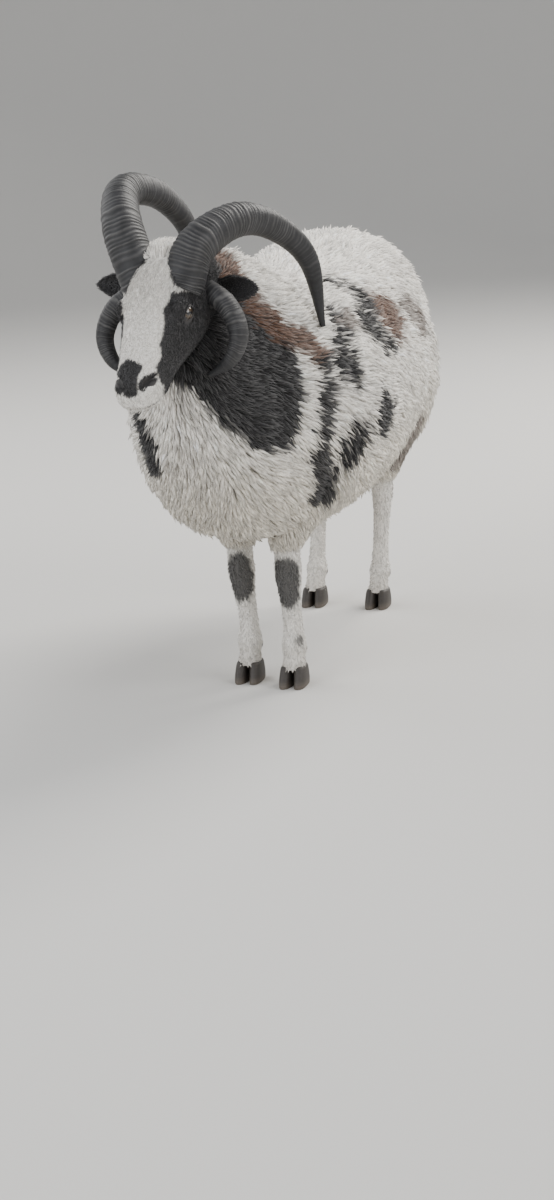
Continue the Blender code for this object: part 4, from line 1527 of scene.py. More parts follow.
    def colour(self, skin: Piece) -> None:
        """Paints the same markings as the coat's, with painted shade under the wool, deep in the nostrils and
        along the mouth's groove.

        Args:
            skin: The skin, which changes.
        """
        points = vertex_array(skin.data)
        own = self.head.to_head(points)
        along, depth, across = self.head.face_rows(own)
        on_head = self.head.region(points, 0.15, 0.10) & (depth > -0.04) & (depth < 0.16)
        on_head &= own[:, 2] > -0.19
        on_leg = points[:, 2] < self.leg_top
        outline = points + normal_array(skin.data) * COAT_DEPTH
        # Painted shade: the skin under the wool is painted a little darker than the fleece above it.
        colours = self.markings.fleece(outline) * self.shade
        colours[on_leg] = self.markings.legs(points[on_leg])
        colours[on_head] = self.markings.face(points[on_head])
        away = np.linalg.norm((points - np.array([0.0, 0.194, 0.262])) / np.array([1.0, 1.0, 1.6]), axis=1)
        bare = (away < 0.055)[:, None] & (points[:, 2] < 0.31)[:, None]
        colours = np.where(bare, np.array(Tone.PINK.value), colours)
        claw = np.zeros(len(points), dtype=bool)
        for corner in FOOT:
            for middle in self.dewclaws(corner):
                spot = np.array(middle) + np.array([0.0, 0.004, -0.002])
                claw |= np.linalg.norm(points - spot, axis=1) < 0.0095
        colours[claw] = np.array([0.07, 0.06, 0.05])
        # Eye rims, nostrils and lips get the dark bare skin; along the mouth this dark band is also painted
        # shade in the groove between the lips.
        colours[on_head & ShortCoat.bare(own)] = np.array(Tone.BARE.value)
        # Painted shade: where a nostril's cut is deepest it is painted a quarter as bright as the bare nose,
        # as shade in the hole.
        nostril_painted_shade = self.nostrils(along, depth, across) < -0.0035
        colours[on_head & nostril_painted_shade] = np.array(Tone.BARE.value) * 0.25
        paint(skin.data, colours)


@dataclass
class Rows:
    """Arrays with one row for each lock."""

    def keep(self, chosen: Array | slice) -> "Rows":
        """A copy with only the chosen rows."""
        return type(self)(*(getattr(self, part.name)[chosen] for part in fields(self)))


@dataclass
class Roots(Rows):
    """Places where locks grow: skin place, tips' outline place, way out, lie, coat depth and map place."""

    skin: Array
    tips: Array
    out: Array
    lie: Array
    depth: Array
    place: Array

    @staticmethod
    def together(groups: Sequence["Roots"]) -> "Roots":
        """All the groups as one."""
        names = [part.name for part in fields(Roots)]
        return Roots(*(np.concatenate([getattr(group, name) for group in groups]) for name in names))


@dataclass
class Locks(Rows):
    """Locks to build: middle lines, half widths, ways out, colours at root and tip, and map places.

    A line is a row of ring middles, and a lock has one half width for each ring.
    """

    line: Array
    wide: Array
    out: Array
    root_colour: Array
    tip_colour: Array
    place: Array


def laid(out: Array, wish: Array) -> Array:
    """Lays the way that hair would like to go flat on the skin."""
    return unit(wish - out * np.sum(out * wish, axis=1)[:, None])


def one_per_cell(points: Array, size: float) -> Array:
    """Picks the first point in each small cube of space, which spreads random points evenly.

    Args:
        points: Places, one in each row.
        size: The side of a cube.

    Returns:
        The chosen rows, in order.
    """
    cells = np.floor(points / size).astype(np.int64)
    key = (cells[:, 0] * 73856093) ^ (cells[:, 1] * 19349663) ^ (cells[:, 2] * 83492791)
    _, first = np.unique(key, return_index=True)
    return np.sort(first)


@dataclass
class LockMaker:
    """Turns locks into thin curved meshes of three sides, each ending in a point."""

    most: int
    flat: float
    sides: int = 3

    def build(self, name: str, locks: Locks) -> list[Piece]:
        """Builds the locks as pieces that each stay under the triangle limit.

        Args:
            name: The start of each piece's name.
            locks: What to build.

        Returns:
            The pieces.
        """
        starts = range(0, len(locks.line), self.most)
        return [
            self.piece(f"{name}_{number}", locks.keep(slice(start, start + self.most)))
            for number, start in enumerate(starts, 1)
        ]

    def piece(self, name: str, locks: Locks) -> Piece:
        """Builds one joined mesh of locks.

        Args:
            name: The piece's name.
            locks: What to build.

        Returns:
            The piece.
        """
        line, wide, out = locks.line, locks.wide, locks.out
        root_colour, tip_colour, flat = locks.root_colour[:, None, :], locks.tip_colour[:, None, :], self.flat
        count, rings = line.shape[0], line.shape[1]
        ahead = unit(np.gradient(line, axis=1))
        side = unit(np.cross(ahead, np.repeat(out[:, None, :], rings, axis=1)))
        over = np.cross(side, ahead)
        sides = self.sides
        turns = 2.0 * math.pi * np.arange(sides) / sides + math.pi / 2.0
        body = rings - 1
        ring_points = []
        for turn in turns:
            offset = side[:, :body] * math.cos(turn) + over[:, :body] * (flat * math.sin(turn))
            ring_points.append(line[:, :body] + offset * wide[:, :body, None])
        ring_points = np.stack(ring_points, axis=2)
        per = body * sides + 1
        points = np.concatenate([ring_points.reshape(count, body * sides, 3), line[:, -1:, :]], axis=1)
        faces = []
        for ring in range(body - 1):
            for k in range(sides):
                a, b = ring * sides + k, ring * sides + (k + 1) % sides
                faces.append((a, b, b + sides, a + sides))
        tips = [((body - 1) * sides + k, (body - 1) * sides + (k + 1) % sides, per - 1) for k in range(sides)]
        base = (sides - 1, *range(sides - 2, -1, -1))
        shares = np.concatenate([np.repeat(np.arange(body) / body, sides), [1.0]])
        colours = root_colour * (1 - shares[None, :, None]) + tip_colour * shares[None, :, None]
        mesh = bpy.data.meshes.new(name)
        quad_count, tip_count = len(faces), len(tips)
        loops = np.concatenate([np.array(faces).ravel(), np.array(tips).ravel(), np.array(base)])
        totals = np.concatenate([np.full(quad_count, 4), np.full(tip_count, 3), [sides]])
        all_loops = (loops[None, :] + (np.arange(count) * per)[:, None]).ravel()
        all_totals = np.tile(totals, count)
        starts = np.concatenate([[0], np.cumsum(all_totals)[:-1]])
        mesh.vertices.add(count * per)
        mesh.vertices.foreach_set("co", points.astype(np.float32).ravel())
        mesh.loops.add(len(all_loops))
        mesh.loops.foreach_set("vertex_index", all_loops.astype(np.int32))
        mesh.polygons.add(len(all_totals))
        mesh.polygons.foreach_set("loop_start", starts.astype(np.int32))
        mesh.update(calc_edges=True)
        mesh.validate()
        paint(mesh, np.clip(colours.reshape(-1, 3), 0.0, 1.0))
        local = np.zeros((per, 2))
        local[:, 0] = np.concatenate([np.tile(np.arange(sides) / (sides - 1), body), [0.5]]) - 0.5
        local[:, 1] = shares - 0.5
        uv_points = locks.place[:, None, :] + local[None, :, :] * PATCH_SIZE
        uv_points = uv_points.reshape(-1, 2)
        layer = mesh.uv_layers.new(name=BAKE_MAP)
        vertex_of_loop = np.empty(len(mesh.loops), dtype=np.int32)
        mesh.loops.foreach_get("vertex_index", vertex_of_loop)
        layer.data.foreach_set("uv", uv_points[vertex_of_loop].astype(np.float32).ravel())
        mesh.shade_smooth()
        item = bpy.data.objects.new(name, mesh)
        bpy.context.scene.collection.objects.link(item)
        return item


@dataclass
class Fleece:
    """The long wool: staples of locks that lie back and down over one another."""

    body: Body
    head: HeadForm
    markings: Markings
    seed: int = 21
    spacing: float = 0.0050
    staple_spacing: float = 0.018
    gathered: float = 0.30
    length: float = 0.034
    length_spread: float = 0.010
    half: float = 0.0036
    flat: float = 0.62
    poll_cell: float = 0.0029
    poll_half: float = 0.0022
    rings: int = 4
    locks_in_piece: int = 12000
    trunk_draws: int = 560000
    limb_draws: int = 90000
    tail_draws: int = 24000

    def __post_init__(self) -> None:
        """Starts the fleece's own random draws."""
        self.draw = np.random.default_rng(self.seed)

    def sample(self, loft: Loft, index: int, count: int, back: float) -> Roots:
        """Random roots on one form.

        Args:
            loft: The form.
            index: Which strip of the bake map the form has.
            count: How many to draw before they are thinned.
            back: How far the wool lies back rather than down.

        Returns:
            Roots spread evenly over the form.
        """
        place = self.draw.uniform(0.0, 0.995, count)
        angle = self.draw.uniform(0.0, 360.0, count)
        tips = loft.points(place, angle)
        chosen = one_per_cell(tips, self.spacing)
        place, angle, tips = place[chosen], angle[chosen], tips[chosen]
        beside = loft.points(place, angle + 1.5) - tips
        ahead = loft.points(np.minimum(place + 0.01, 1.0), angle)
        ahead -= loft.points(np.maximum(place - 0.01, 0.0), angle)
        out = unit(np.cross(ahead, beside))
        middle = loft.read(place)[:, :3]
        out *= np.sign(np.sum(out * (tips - middle), axis=1))[:, None]
        depth = loft.read(place)[:, 8]
        skin = tips - out * depth[:, None]
        wish = np.array([0.0, back, -1.0 + 0.4 * back])
        lie = laid(out, wish)
        strip = np.stack([(index + 0.06 + 0.88 * angle / 360.0) / MAP_STRIPS, 0.03 + 0.94 * place], axis=1)
        return Roots(skin, tips, out, lie, depth, strip)

    def roots(self) -> Roots:
        """All the roots, clear of the head and of one another's forms.

        Returns:
            The roots.
        """
        forms = self.body.woolled()
        outlines = [tree_of_bmesh(form.mesh(60, 40)) for form in forms]
        head_mesh = self.head.loft.mesh(40, 30)
        head_mesh.transform(self.head.place)
        head_tree = tree_of_bmesh(head_mesh)
        groups = []
        for index, form in enumerate(forms):
            count, back = self.limb_draws, 0.35
            if form is self.body.trunk:
                count, back = self.trunk_draws, 1.0
            elif form is self.body.tail:
                count, back = self.tail_draws, 0.0
            roots = self.sample(form, index, count, back)
            free = ~inside(head_tree, roots.tips)
            for other, tree in zip(forms, outlines):
                if other is not form:
                    free &= ~inside(tree, roots.tips)
            free &= roots.depth > 0.0012
            groups.append(roots.keep(free))
        return Roots.together(groups)

    def poll_roots(self, skin: Piece) -> Roots:
        """Roots on the poll and the nape, between and behind the horns.

        Args:
            skin: The finished skin.

        Returns:
            The roots.
        """
        points, normals = vertex_array(skin.data), normal_array(skin.data)
        own = self.head.to_head(points)
        along = self.head.face_rows(own)[0]
        chosen = self.head.region(points, 0.062, 0.095) & (along < -0.004) & (own[:, 2] > -0.035)
        spots = np.flatnonzero(chosen)
        jitter = 0.0012 * self.draw.normal(size=(len(spots), 3))
        spots = spots[one_per_cell(points[spots] + jitter, self.poll_cell)]
        out, x, y = normals[spots], own[spots, 0], own[spots, 1]
        front = smooth_step(0.010, -0.030, y)
        wish = np.stack([0.5 * x / 0.06, np.full(len(x), 0.9), -0.45 + 0.25 * front], axis=1)
        lie = laid(out, wish)
        depth = 0.0085 * smooth_step(0.064, 0.045, np.abs(x)) * (1.0 - 0.55 * front) + 0.0015
        strip = np.stack([0.5 + 3.4 * x, 0.5 + 3.0 * y], axis=1) % 1.0
        return Roots(points[spots], points[spots] + out * depth[:, None], out, lie, depth, strip)

    def poll_colour(self, roots: Roots) -> Array:
        """White between the horns, then black down the nape.

        Args:
            roots: Where the locks grow.

        Returns:
            A colour for each root.
        """
        own = self.head.to_head(roots.skin)
        ragged = 0.005 * waves(own, 0.02, 51)
        white = smooth_step(0.022, 0.006, own[:, 1] + ragged)
        white = (white * smooth_step(0.046, 0.036, np.abs(own[:, 0]) + ragged))[:, None]
        return np.array(Tone.BLACK.value) * (1 - white) + np.array(Tone.WHITE.value) * white

    def build(self, skin: Piece) -> list[Piece]:
        """Makes the fleece and the finer wool of the poll and nape.

        Args:
            skin: The finished skin.

        Returns:
            The pieces.
        """
        poll = self.poll_roots(skin)
        roots = self.roots()
        scale = np.sqrt(np.clip(roots.depth / COAT_DEPTH, 0.05, 1.2))
        pieces = self.locks("fleece", roots, scale, self.half, None)
        small = np.sqrt(poll.depth / COAT_DEPTH)
        return pieces + self.locks("poll_wool", poll, small, self.poll_half, self.poll_colour(poll))

    def locks(
        self, name: str, roots: Roots, scale: Array, half: float, colour: Array | None
    ) -> list[Piece]:
        """Makes locks that rise from the skin, bend over and end in the points of staples.

        Args:
            name: The start of each piece's name.
            roots: Where the locks grow.
            scale: Each lock's size, 1 for the longest wool.
            half: Half the width of the longest locks.
            colour: Each lock's colour, or None for the fleece's own markings.

        Returns:
            The pieces.
        """
        count = len(roots.depth)
        LOG.info("%s locks: %d", name, count)
        draw = self.draw
        swirl = 0.30 * waves(roots.tips, 0.16, 31) + 0.22 * waves(roots.tips, 0.05, 32)
        beside = np.cross(roots.out, roots.lie)
        lie = unit(roots.lie + beside * swirl[:, None] + 0.12 * draw.normal(size=(count, 3)))
        length = (self.length + self.length_spread * draw.random(count)) * scale
        height = roots.depth * (0.86 + 0.20 * draw.random(count) + 0.10 * waves(roots.tips, 0.04, 33))
        tip = roots.skin + roots.out * height[:, None] + lie * length[:, None]
        staple = self.staples(roots.tips)
        tip = self.gather(tip, staple, self.gathered)
        bend = roots.skin + roots.out * (height * 0.92)[:, None] + (tip - roots.skin) * 0.22
        shares = np.linspace(0.0, 1.0, self.rings)[None, :, None]
        start = roots.skin[:, None, :] - roots.out[:, None, :] * 0.002
        line = start * (1 - shares) ** 2 + bend[:, None, :] * 2 * shares * (1 - shares)
        line = line + tip[:, None, :] * shares**2
        share = shares[:, :, 0]
        crimp = np.sin(share * 9.0 + draw.uniform(0, 6.28, count)[:, None]) * 0.0012 * share
        line = line + beside[:, None, :] * (crimp * scale[:, None])[:, :, None]
        profile = np.array([1.10, 1.10, 0.76, 0.0])
        wide = half * scale[:, None] * profile[None, :] * (0.8 + 0.45 * draw.random(count))[:, None]
        if colour is None:
            seen = roots.tips + lie * (length * 0.80)[:, None] + 0.003 * draw.normal(size=(count, 3))
            colour = self.markings.fleece(seen)
        tone = 1.0 + 0.11 * draw.normal(size=count)
        tone = (tone + 0.07 * draw.normal(size=staple.max() + 1)[staple])[:, None]
        light = smooth_step(0.15, 0.40, colour.mean(axis=1))[:, None]
        root_colour = colour * (0.45 + 0.53 * light) * tone
        tip_colour = colour * (1.40 - 0.32 * light) * tone
        order = np.argsort(roots.tips[:, 1])
        made = Locks(line, wide, roots.out, root_colour, tip_colour, roots.place)
        return LockMaker(self.locks_in_piece, self.flat).build(name, made.keep(order))

    def staples(self, points: Array) -> Array:
        """Which staple each lock belongs to.

        Args:
            points: Places, one in each row.

        Returns:
            The number of its staple for each lock.
        """
        middles = points[one_per_cell(points + 0.5, self.staple_spacing)]
        tree = KDTree(len(middles))
        for k, point in enumerate(middles):
            tree.insert(Vector(point), k)
        tree.balance()
        return np.array([tree.find(Vector(point))[1] for point in points])

    def gather(self, tips: Array, staple: Array, share: float) -> Array:
        """Draws the tips of each staple together.

        Args:
            tips: The tips of the locks.
            staple: Which staple each lock is in.
            share: How far they are drawn together.

        Returns:
            The tips' new places.
        """
        count = staple.max() + 1
        sums = np.zeros((count, 3))
        np.add.at(sums, staple, tips)
        sizes = np.bincount(staple, minlength=count)[:, None]
        middle = sums / np.maximum(sizes, 1)
        return tips * (1 - share) + middle[staple] * share


@dataclass(frozen=True)
class Hair:
    """How short hair grows on one part: name, cell, length, half width and rise for its length."""

    name: str
    cell: float
    length: float
    half: float
    rise: float


@dataclass
class ShortCoat:
    """Short hair that breaks the outline of the head, ears, legs and scrotum."""

    body: Body
    head: HeadForm
    markings: Markings
    skin: Piece
    seed: int = 77
    leg: Hair = Hair("leg_hair", 0.0042, 0.0070, 0.0014, 0.15)
    face: Hair = Hair("face_hair", 0.0028, 0.0042, 0.0009, 0.16)
    ear: Hair = Hair("ear_hair", 0.0030, 0.0050, 0.0010, 0.22)
    scrotum_cell: float = 0.0036
    leg_draws: int = 30000
    tufts_in_piece: int = 18000
    flat: float = 0.5

    def __post_init__(self) -> None:
        """Reads the skin and starts the short coat's own random draws."""
        self.tree = tree_of(self.skin)
        self.points = vertex_array(self.skin.data)
        self.normals = normal_array(self.skin.data)
        self.own = self.head.to_head(self.points)
        self.draw = np.random.default_rng(self.seed)

    def snapped(self, points: Array) -> tuple[Array, Array, Array]:
        """The nearest places on the skin, their way out and how far they were.

        Args:
            points: Places, one in each row.

        Returns:
            The places, the ways out and the distances.
        """
        places, outs, gaps = [], [], []
        for point in points:
            place, normal, _, distance = self.tree.find_nearest(Vector(point))
            places.append(place)
            outs.append(normal)
            gaps.append(distance)
        return np.array(places), np.array(outs), np.array(gaps)

    def leg_hair(self) -> list[Piece]:
        """Hair on the legs, pointing down.

        Returns:
            The pieces.
        """
        groups = []
        for index, (corner, loft) in enumerate(self.body.legs.items()):
            place = self.draw.uniform(0.12, 0.985, self.leg_draws)
            angle = self.draw.uniform(0.0, 360.0, self.leg_draws)
            points = loft.points(place, angle)
            chosen = one_per_cell(points, self.leg.cell)
            column = (index + 0.06 + 0.88 * angle[chosen] / 360.0) / MAP_STRIPS
            strip = np.stack([column, place[chosen]], axis=1)
            groups.append((points[chosen], strip))
        points = np.concatenate([group[0] for group in groups])
        strip = np.concatenate([group[1] for group in groups])
        skin, out, gap = self.snapped(points)
        keep = gap < 0.004
        skin, out, strip = skin[keep], out[keep], strip[keep]
        wish = np.array([0.0, 0.15, -1.0])
        lie = laid(out, wish)
        colour = self.markings.legs(skin)
        return self.tufts(self.leg, skin, out, lie, colour, strip, self.leg.length)

    def face_hair(self) -> list[Piece]:
        """Hair on the whole head, pointing down the face and back over the poll and jaw.

        Returns:
            The pieces.
        """
        points = self.points
        along, depth, across = self.head.face_rows(self.own)
        on_head = self.head.region(points, 0.066, 0.095) & (depth > -0.02) & (depth < 0.16)
        spots = np.flatnonzero(on_head & ~self.bare(self.own))
        jitter = 0.001 * self.draw.normal(size=(len(spots), 3))
        spots = spots[one_per_cell(points[spots] + jitter, self.face.cell)]
        down = np.array(FACE_DOWN)
        back = np.array([0.0, 0.8, -0.6])
        blend = smooth_step(0.03, -0.03, along[spots])[:, None]
        wish = unit(down * (1 - blend) + back * blend) @ np.array(self.head.place)[:3, :3].T
        out = self.normals[spots]
        lie = laid(out, wish)
        size = self.face.length + 0.0042 * smooth_step(0.13, 0.02, along[spots])
        colour = self.markings.face(points[spots])
        column = 0.5 + 2.4 * across[spots] + 0.8 * depth[spots]
        strip = np.stack([column, 0.25 + 2.6 * along[spots]], axis=1) % 1.0
        return self.tufts(self.face, points[spots], out, lie, colour, strip, size)

    @staticmethod
    def bare(own: Array) -> Array:
        """Tells which places of the head are eye rims, nostrils or lips, in the head's frame.

        Args:
            own: Places in the head's own frame.

        Returns:
            True for each bare place.
        """
        along, depth, across = HeadForm.face_rows(own)
        one_side = np.stack([np.abs(own[:, 0]), own[:, 1], own[:, 2]], axis=1)
        from_eye = np.linalg.norm(one_side - EYE_PLACE, axis=1)
        nostril = np.sqrt((along - 0.200) ** 2 + (depth - 0.014) ** 2 + (0.5 * (np.abs(across) - 0.023)) ** 2)
        # The lips' band runs along the groove between the lips and is painted dark: partly the bare lip skin,
        # partly painted shade in the groove.
        lips = (np.abs(Skin.mouth_gap(along, depth)) < 0.0020) & (along > 0.170)
        return (from_eye < 0.0165) | (nostril < 0.0075) | lips

    def ear_hair(self) -> list[Piece]:
        """Hair on the ears, pointing out to their tips, and down on the scrotum.

        Returns:
            The pieces.
        """
        points, own = self.points, self.own
        ear = (np.abs(own[:, 0]) > 0.062) & (own[:, 1] > 0.005) & (own[:, 1] < 0.10)
        ear &= (np.abs(own[:, 2]) < 0.05) & (points[:, 1] < -0.42)
        bag = (points[:, 2] < 0.285) & (np.abs(points[:, 0]) < 0.05) & (np.abs(points[:, 1] - 0.194) < 0.05)
        groups = []
        for index, (chosen, cell) in enumerate(((ear, self.ear.cell), (bag, self.scrotum_cell))):
            spots = np.flatnonzero(chosen)
            spots = spots[one_per_cell(points[spots], cell)]
            wish = np.array([0.0, 0.0, -1.0])
            colour = np.array(Tone.PINK.value) * 0.9
            if index == 0:
                outward = np.sign(own[spots, 0])
                wish = np.stack([outward, np.zeros(len(spots)), np.full(len(spots), -0.15)], axis=1)
                colour = np.array(Tone.BLACK.value) * 1.3
            out = self.normals[spots]
            colours = np.tile(colour, (len(spots), 1))
            row = 0.5 + points[spots, 1] * 0.7 + 0.2 * index
            strip = np.stack([0.5 + points[spots, 2], row], axis=1) % 1.0
            groups.append((points[spots], out, laid(out, wish), colours, strip))
        merged = [np.concatenate([group[k] for group in groups]) for k in range(5)]
        return self.tufts(self.ear, *merged, self.ear.length)

    def tufts(
        self,
        hair: Hair,
        skin: Array,
        out: Array,
        lie: Array,
        colour: Array,
        place: Array,
        length: float | Array,
    ) -> list[Piece]:
        """Small flat tufts that lie along the skin.

        Args:
            hair: How it grows.
            skin: Where each tuft starts.
            out: Each tuft's way out of the skin.
            lie: Which way each tuft lies.
            colour: Each tuft's colour.
            place: Each tuft's place on the bake map.
            length: Its length, or each tuft's.

        Returns:
            The pieces.
        """
        count = len(skin)
        LOG.info("%s tufts: %d", hair.name, count)
        draw = self.draw
        size = (length * (0.8 + 0.4 * draw.random(count)))[:, None]
        lie = unit(lie + 0.14 * draw.normal(size=(count, 3)))
        tip = skin + lie * size + out * size * (hair.rise * (0.7 + 0.8 * draw.random(count)))[:, None]
        middle = skin + lie * size * 0.5 + out * size * hair.rise * 0.75
        start = skin - out * 0.0006
        line = np.stack([start, middle, tip], axis=1)
        wide = hair.half * np.array([0.9, 0.8, 0.0])[None, :] * (0.8 + 0.4 * draw.random(count))[:, None]
        tone = (1.0 + 0.12 * draw.normal(size=count))[:, None]
        made = Locks(line, wide, out, colour * 0.9 * tone, colour * 1.1 * tone, place)
        return LockMaker(self.tufts_in_piece, self.flat).build(hair.name, made)


@dataclass
class Horn:
    """One ringed horn, by its middle line, its radii along it and the count of its growth rings."""

    name: str
    route: Sequence[Vector]
    radii: Sequence[float]
    rings: int
    flat: float = 0.90
    steps_in_ring: int = 7
    sides: int = 40

    def build(self, head: HeadForm) -> Piece:
        """Sweeps the horn with its growth rings and paints them.

        Args:
            head: The head's form, for its place.

        Returns:
            The finished horn.
        """
        steps, sides = self.steps_in_ring * self.rings, self.sides
        place = np.linspace(0.0, 1.0, steps + 1)
        middle = smooth_read(np.array([tuple(point) for point in self.route]), place)
        ahead = unit(np.gradient(middle, axis=0))
        radius = smooth_read(np.array(self.radii)[:, None], place)[:, 0]
        reference = np.array([0.0, 1.0, 0.0])
        bm = bmesh.new()
        loops, heights = [], []
        for step in range(steps + 1):
            side = reference - ahead[step] * (reference @ ahead[step])
            side /= np.linalg.norm(side)
            reference = side
            other = np.cross(ahead[step], side)
            ring = bmesh.ops.create_circle(bm, cap_ends=False, radius=1.0, segments=sides)["verts"]
            turns = 2.0 * math.pi * np.arange(sides) / sides
            around = np.outer(np.cos(turns), side) + np.outer(np.sin(turns), other) * self.flat
            height = self.relief(place[step], turns)
            for k, vert in enumerate(ring):
                swell = 0.975 + 0.055 * height[k] - 0.025 * math.cos(4.0 * turns[k])
                vert.co = middle[step] + around[k] * radius[step] * swell
            loops.append(ring)
            heights.append(height)
        bridge_rings(bm, loops)
        bm.transform(head.place)
        horn = add_object(bm, self.name)
        relief = np.concatenate(heights)
        points = vertex_array(horn.data)
        share = np.clip(relief * 1.3, 0.0, 1.0)[:, None]
        along = np.repeat(place, sides)[:, None]
        finish = HornFinish()
        colours = np.array(finish.groove) * (1 - share) + np.array(finish.ridge) * share
        colours = colours * (1.0 + 0.25 * waves(points, 0.03, 41)[:, None])
        colours = colours * (1.0 - 0.25 * smooth_step(0.55, 1.0, along))
        paint(horn.data, np.clip(colours, 0.0, 1.0))
        horn.data.shade_smooth()
        return horn

    def relief(self, place: float, turns: Array) -> Array:
        """The height of the growth rings at a place along the horn, 0 to about 1.

        Args:
            place: The place, from 0 at the root to 1 at the tip.
            turns: Turns round the horn, in radians.

        Returns:
            A height for each turn.
        """
        wobble = 0.20 * np.sin(turns * 2.0 + 1.3) + 0.10 * np.sin(turns * 5.0 + place * 20.0)
        drift = 0.40 * math.sin(place * 41.0) + 0.22 * math.sin(place * 97.0)
        index = self.rings * place**0.94 + drift + wobble
        ring = np.floor(index + 0.5)
        strength = 0.52 + 0.30 * np.sin(ring * 2.4) + 0.22 * np.sin(ring * 5.9 + 1.0)
        wave = (0.5 + 0.5 * np.cos(2.0 * math.pi * index)) ** 1.6
        outer = 0.45 + 0.55 * np.clip(0.5 - 0.8 * np.cos(turns), 0.0, 1.0)
        beads = 1.0 + 0.22 * np.sin(turns * 23.0 + ring * 1.7) * np.sin(turns * 9.0 + ring)
        fade = 1.0 - 0.88 * smooth_step(0.60, 0.97, np.array([place]))[0]
        return wave * strength * outer * beads * fade


@dataclass
class Horns:
    """The four horns, by their middle lines in the head's frame."""

    upper_radius: float = 0.0365
    lower_radius: float = 0.0185
    upper_rings: int = 74
    lower_rings: int = 44
    upper_taper: tuple[float, ...] = (1.04, 0.94, 0.77, 0.63, 0.48, 0.12)
    lower_taper: tuple[float, ...] = (1.05, 1.0, 0.88, 0.68, 0.22)
    upper_left: tuple[Triple, ...] = (
        (0.030, -0.027, -0.004), (0.048, -0.001, 0.060), (0.082, 0.078, 0.093),
        (0.112, 0.160, 0.077), (0.144, 0.225, 0.018), (0.156, 0.246, -0.092),
    )
    upper_right: tuple[Triple, ...] = (
        (-0.030, -0.022, -0.004), (-0.071, 0.000, 0.090), (-0.097, 0.070, 0.143),
        (-0.080, 0.165, 0.130), (-0.066, 0.238, 0.062), (-0.110, 0.258, -0.030),
    )
    lower: tuple[Triple, ...] = (
        (0.036, 0.014, 0.006), (0.090, 0.000, -0.026), (0.112, -0.008, -0.070),
        (0.099, -0.014, -0.109), (0.064, -0.018, -0.133),
    )

    def build(self, head: HeadForm) -> list[tuple[Piece, str]]:
        """Makes the horns, each with the node that it stands for.

        Args:
            head: The head's form, for its place.

        Returns:
            Each horn and its node's name.
        """
        made = []
        for side, points in ((Side.LEFT, self.upper_left), (Side.RIGHT, self.upper_right)):
            route = [Vector(point) for point in points]
            radii = [self.upper_radius * share for share in self.upper_taper]
            horn = Horn(f"upper_horn_{side.word}", route, radii, self.upper_rings)
            made.append((horn.build(head), f"horn_upper_{side.word}"))
            route = [Vector((x * side.value, y, z)) for x, y, z in self.lower]
            radii = [self.lower_radius * share for share in self.lower_taper]
            horn = Horn(f"lower_horn_{side.word}", route, radii, self.lower_rings)
            made.append((horn.build(head), f"horn_lower_{side.word}"))
        return made


@dataclass
class Eyes:
    """Dark amber eyes with level slot pupils; the sizes are shares of the ball's radius."""

    iris_inner: float = 0.70
    iris_outer: float = 0.82
    pupil_half: float = 0.34
    pupil_rise: float = 0.17

    def build(self, side: Side, head: HeadForm) -> Piece:
        """Makes one eyeball and paints its iris and pupil.

        Args:
            side: Which side of the ram.
            head: The head's form, for its place.

        Returns:
            The finished eyeball.
        """
        centre = Skin.eye_frame(side)[0]
        bm = bmesh.new()
        bmesh.ops.create_uvsphere(
            bm, u_segments=96, v_segments=64, radius=EYE_RADIUS, matrix=Matrix.Translation(centre)
        )
        eye = add_object(bm, f"eyeball_{side.word}")
        points = vertex_array(eye.data)
        away = unit(points - np.array(centre))
        look = unit(np.array([side.value * 0.95, -0.30, -0.02]))
        level = unit(np.cross(np.array([0.0, 0.0, 1.0]), look))
        upright = np.cross(look, level)
        u, v, w = away @ level, away @ upright, away @ look
        radius = np.sqrt(u**2 + v**2)
        finish = EyeFinish()
        turn = np.arctan2(v, u)
        streak = 0.75 + 0.25 * np.sin(turn * 40.0) * np.sin(turn * 17.0 + 1.0)
        iris, rim = np.array(finish.iris) * streak[:, None], np.array(finish.rim)
        edge = smooth_step(self.iris_inner, self.iris_outer, radius)[:, None]
        colours = iris * (1 - edge) + rim * edge
        from_slot = np.sqrt((np.maximum(np.abs(u) - self.pupil_half, 0.0)) ** 2 + v**2)
        slot = smooth_step(0.06, 0.0, from_slot - self.pupil_rise)[:, None]
        colours = colours * (1 - slot) + np.array(finish.pupil) * slot
        colours = np.where((w > 0)[:, None], colours, rim)
        paint(eye.data, colours)
        eye.data.transform(head.place)
        eye.data.shade_smooth()
        return eye


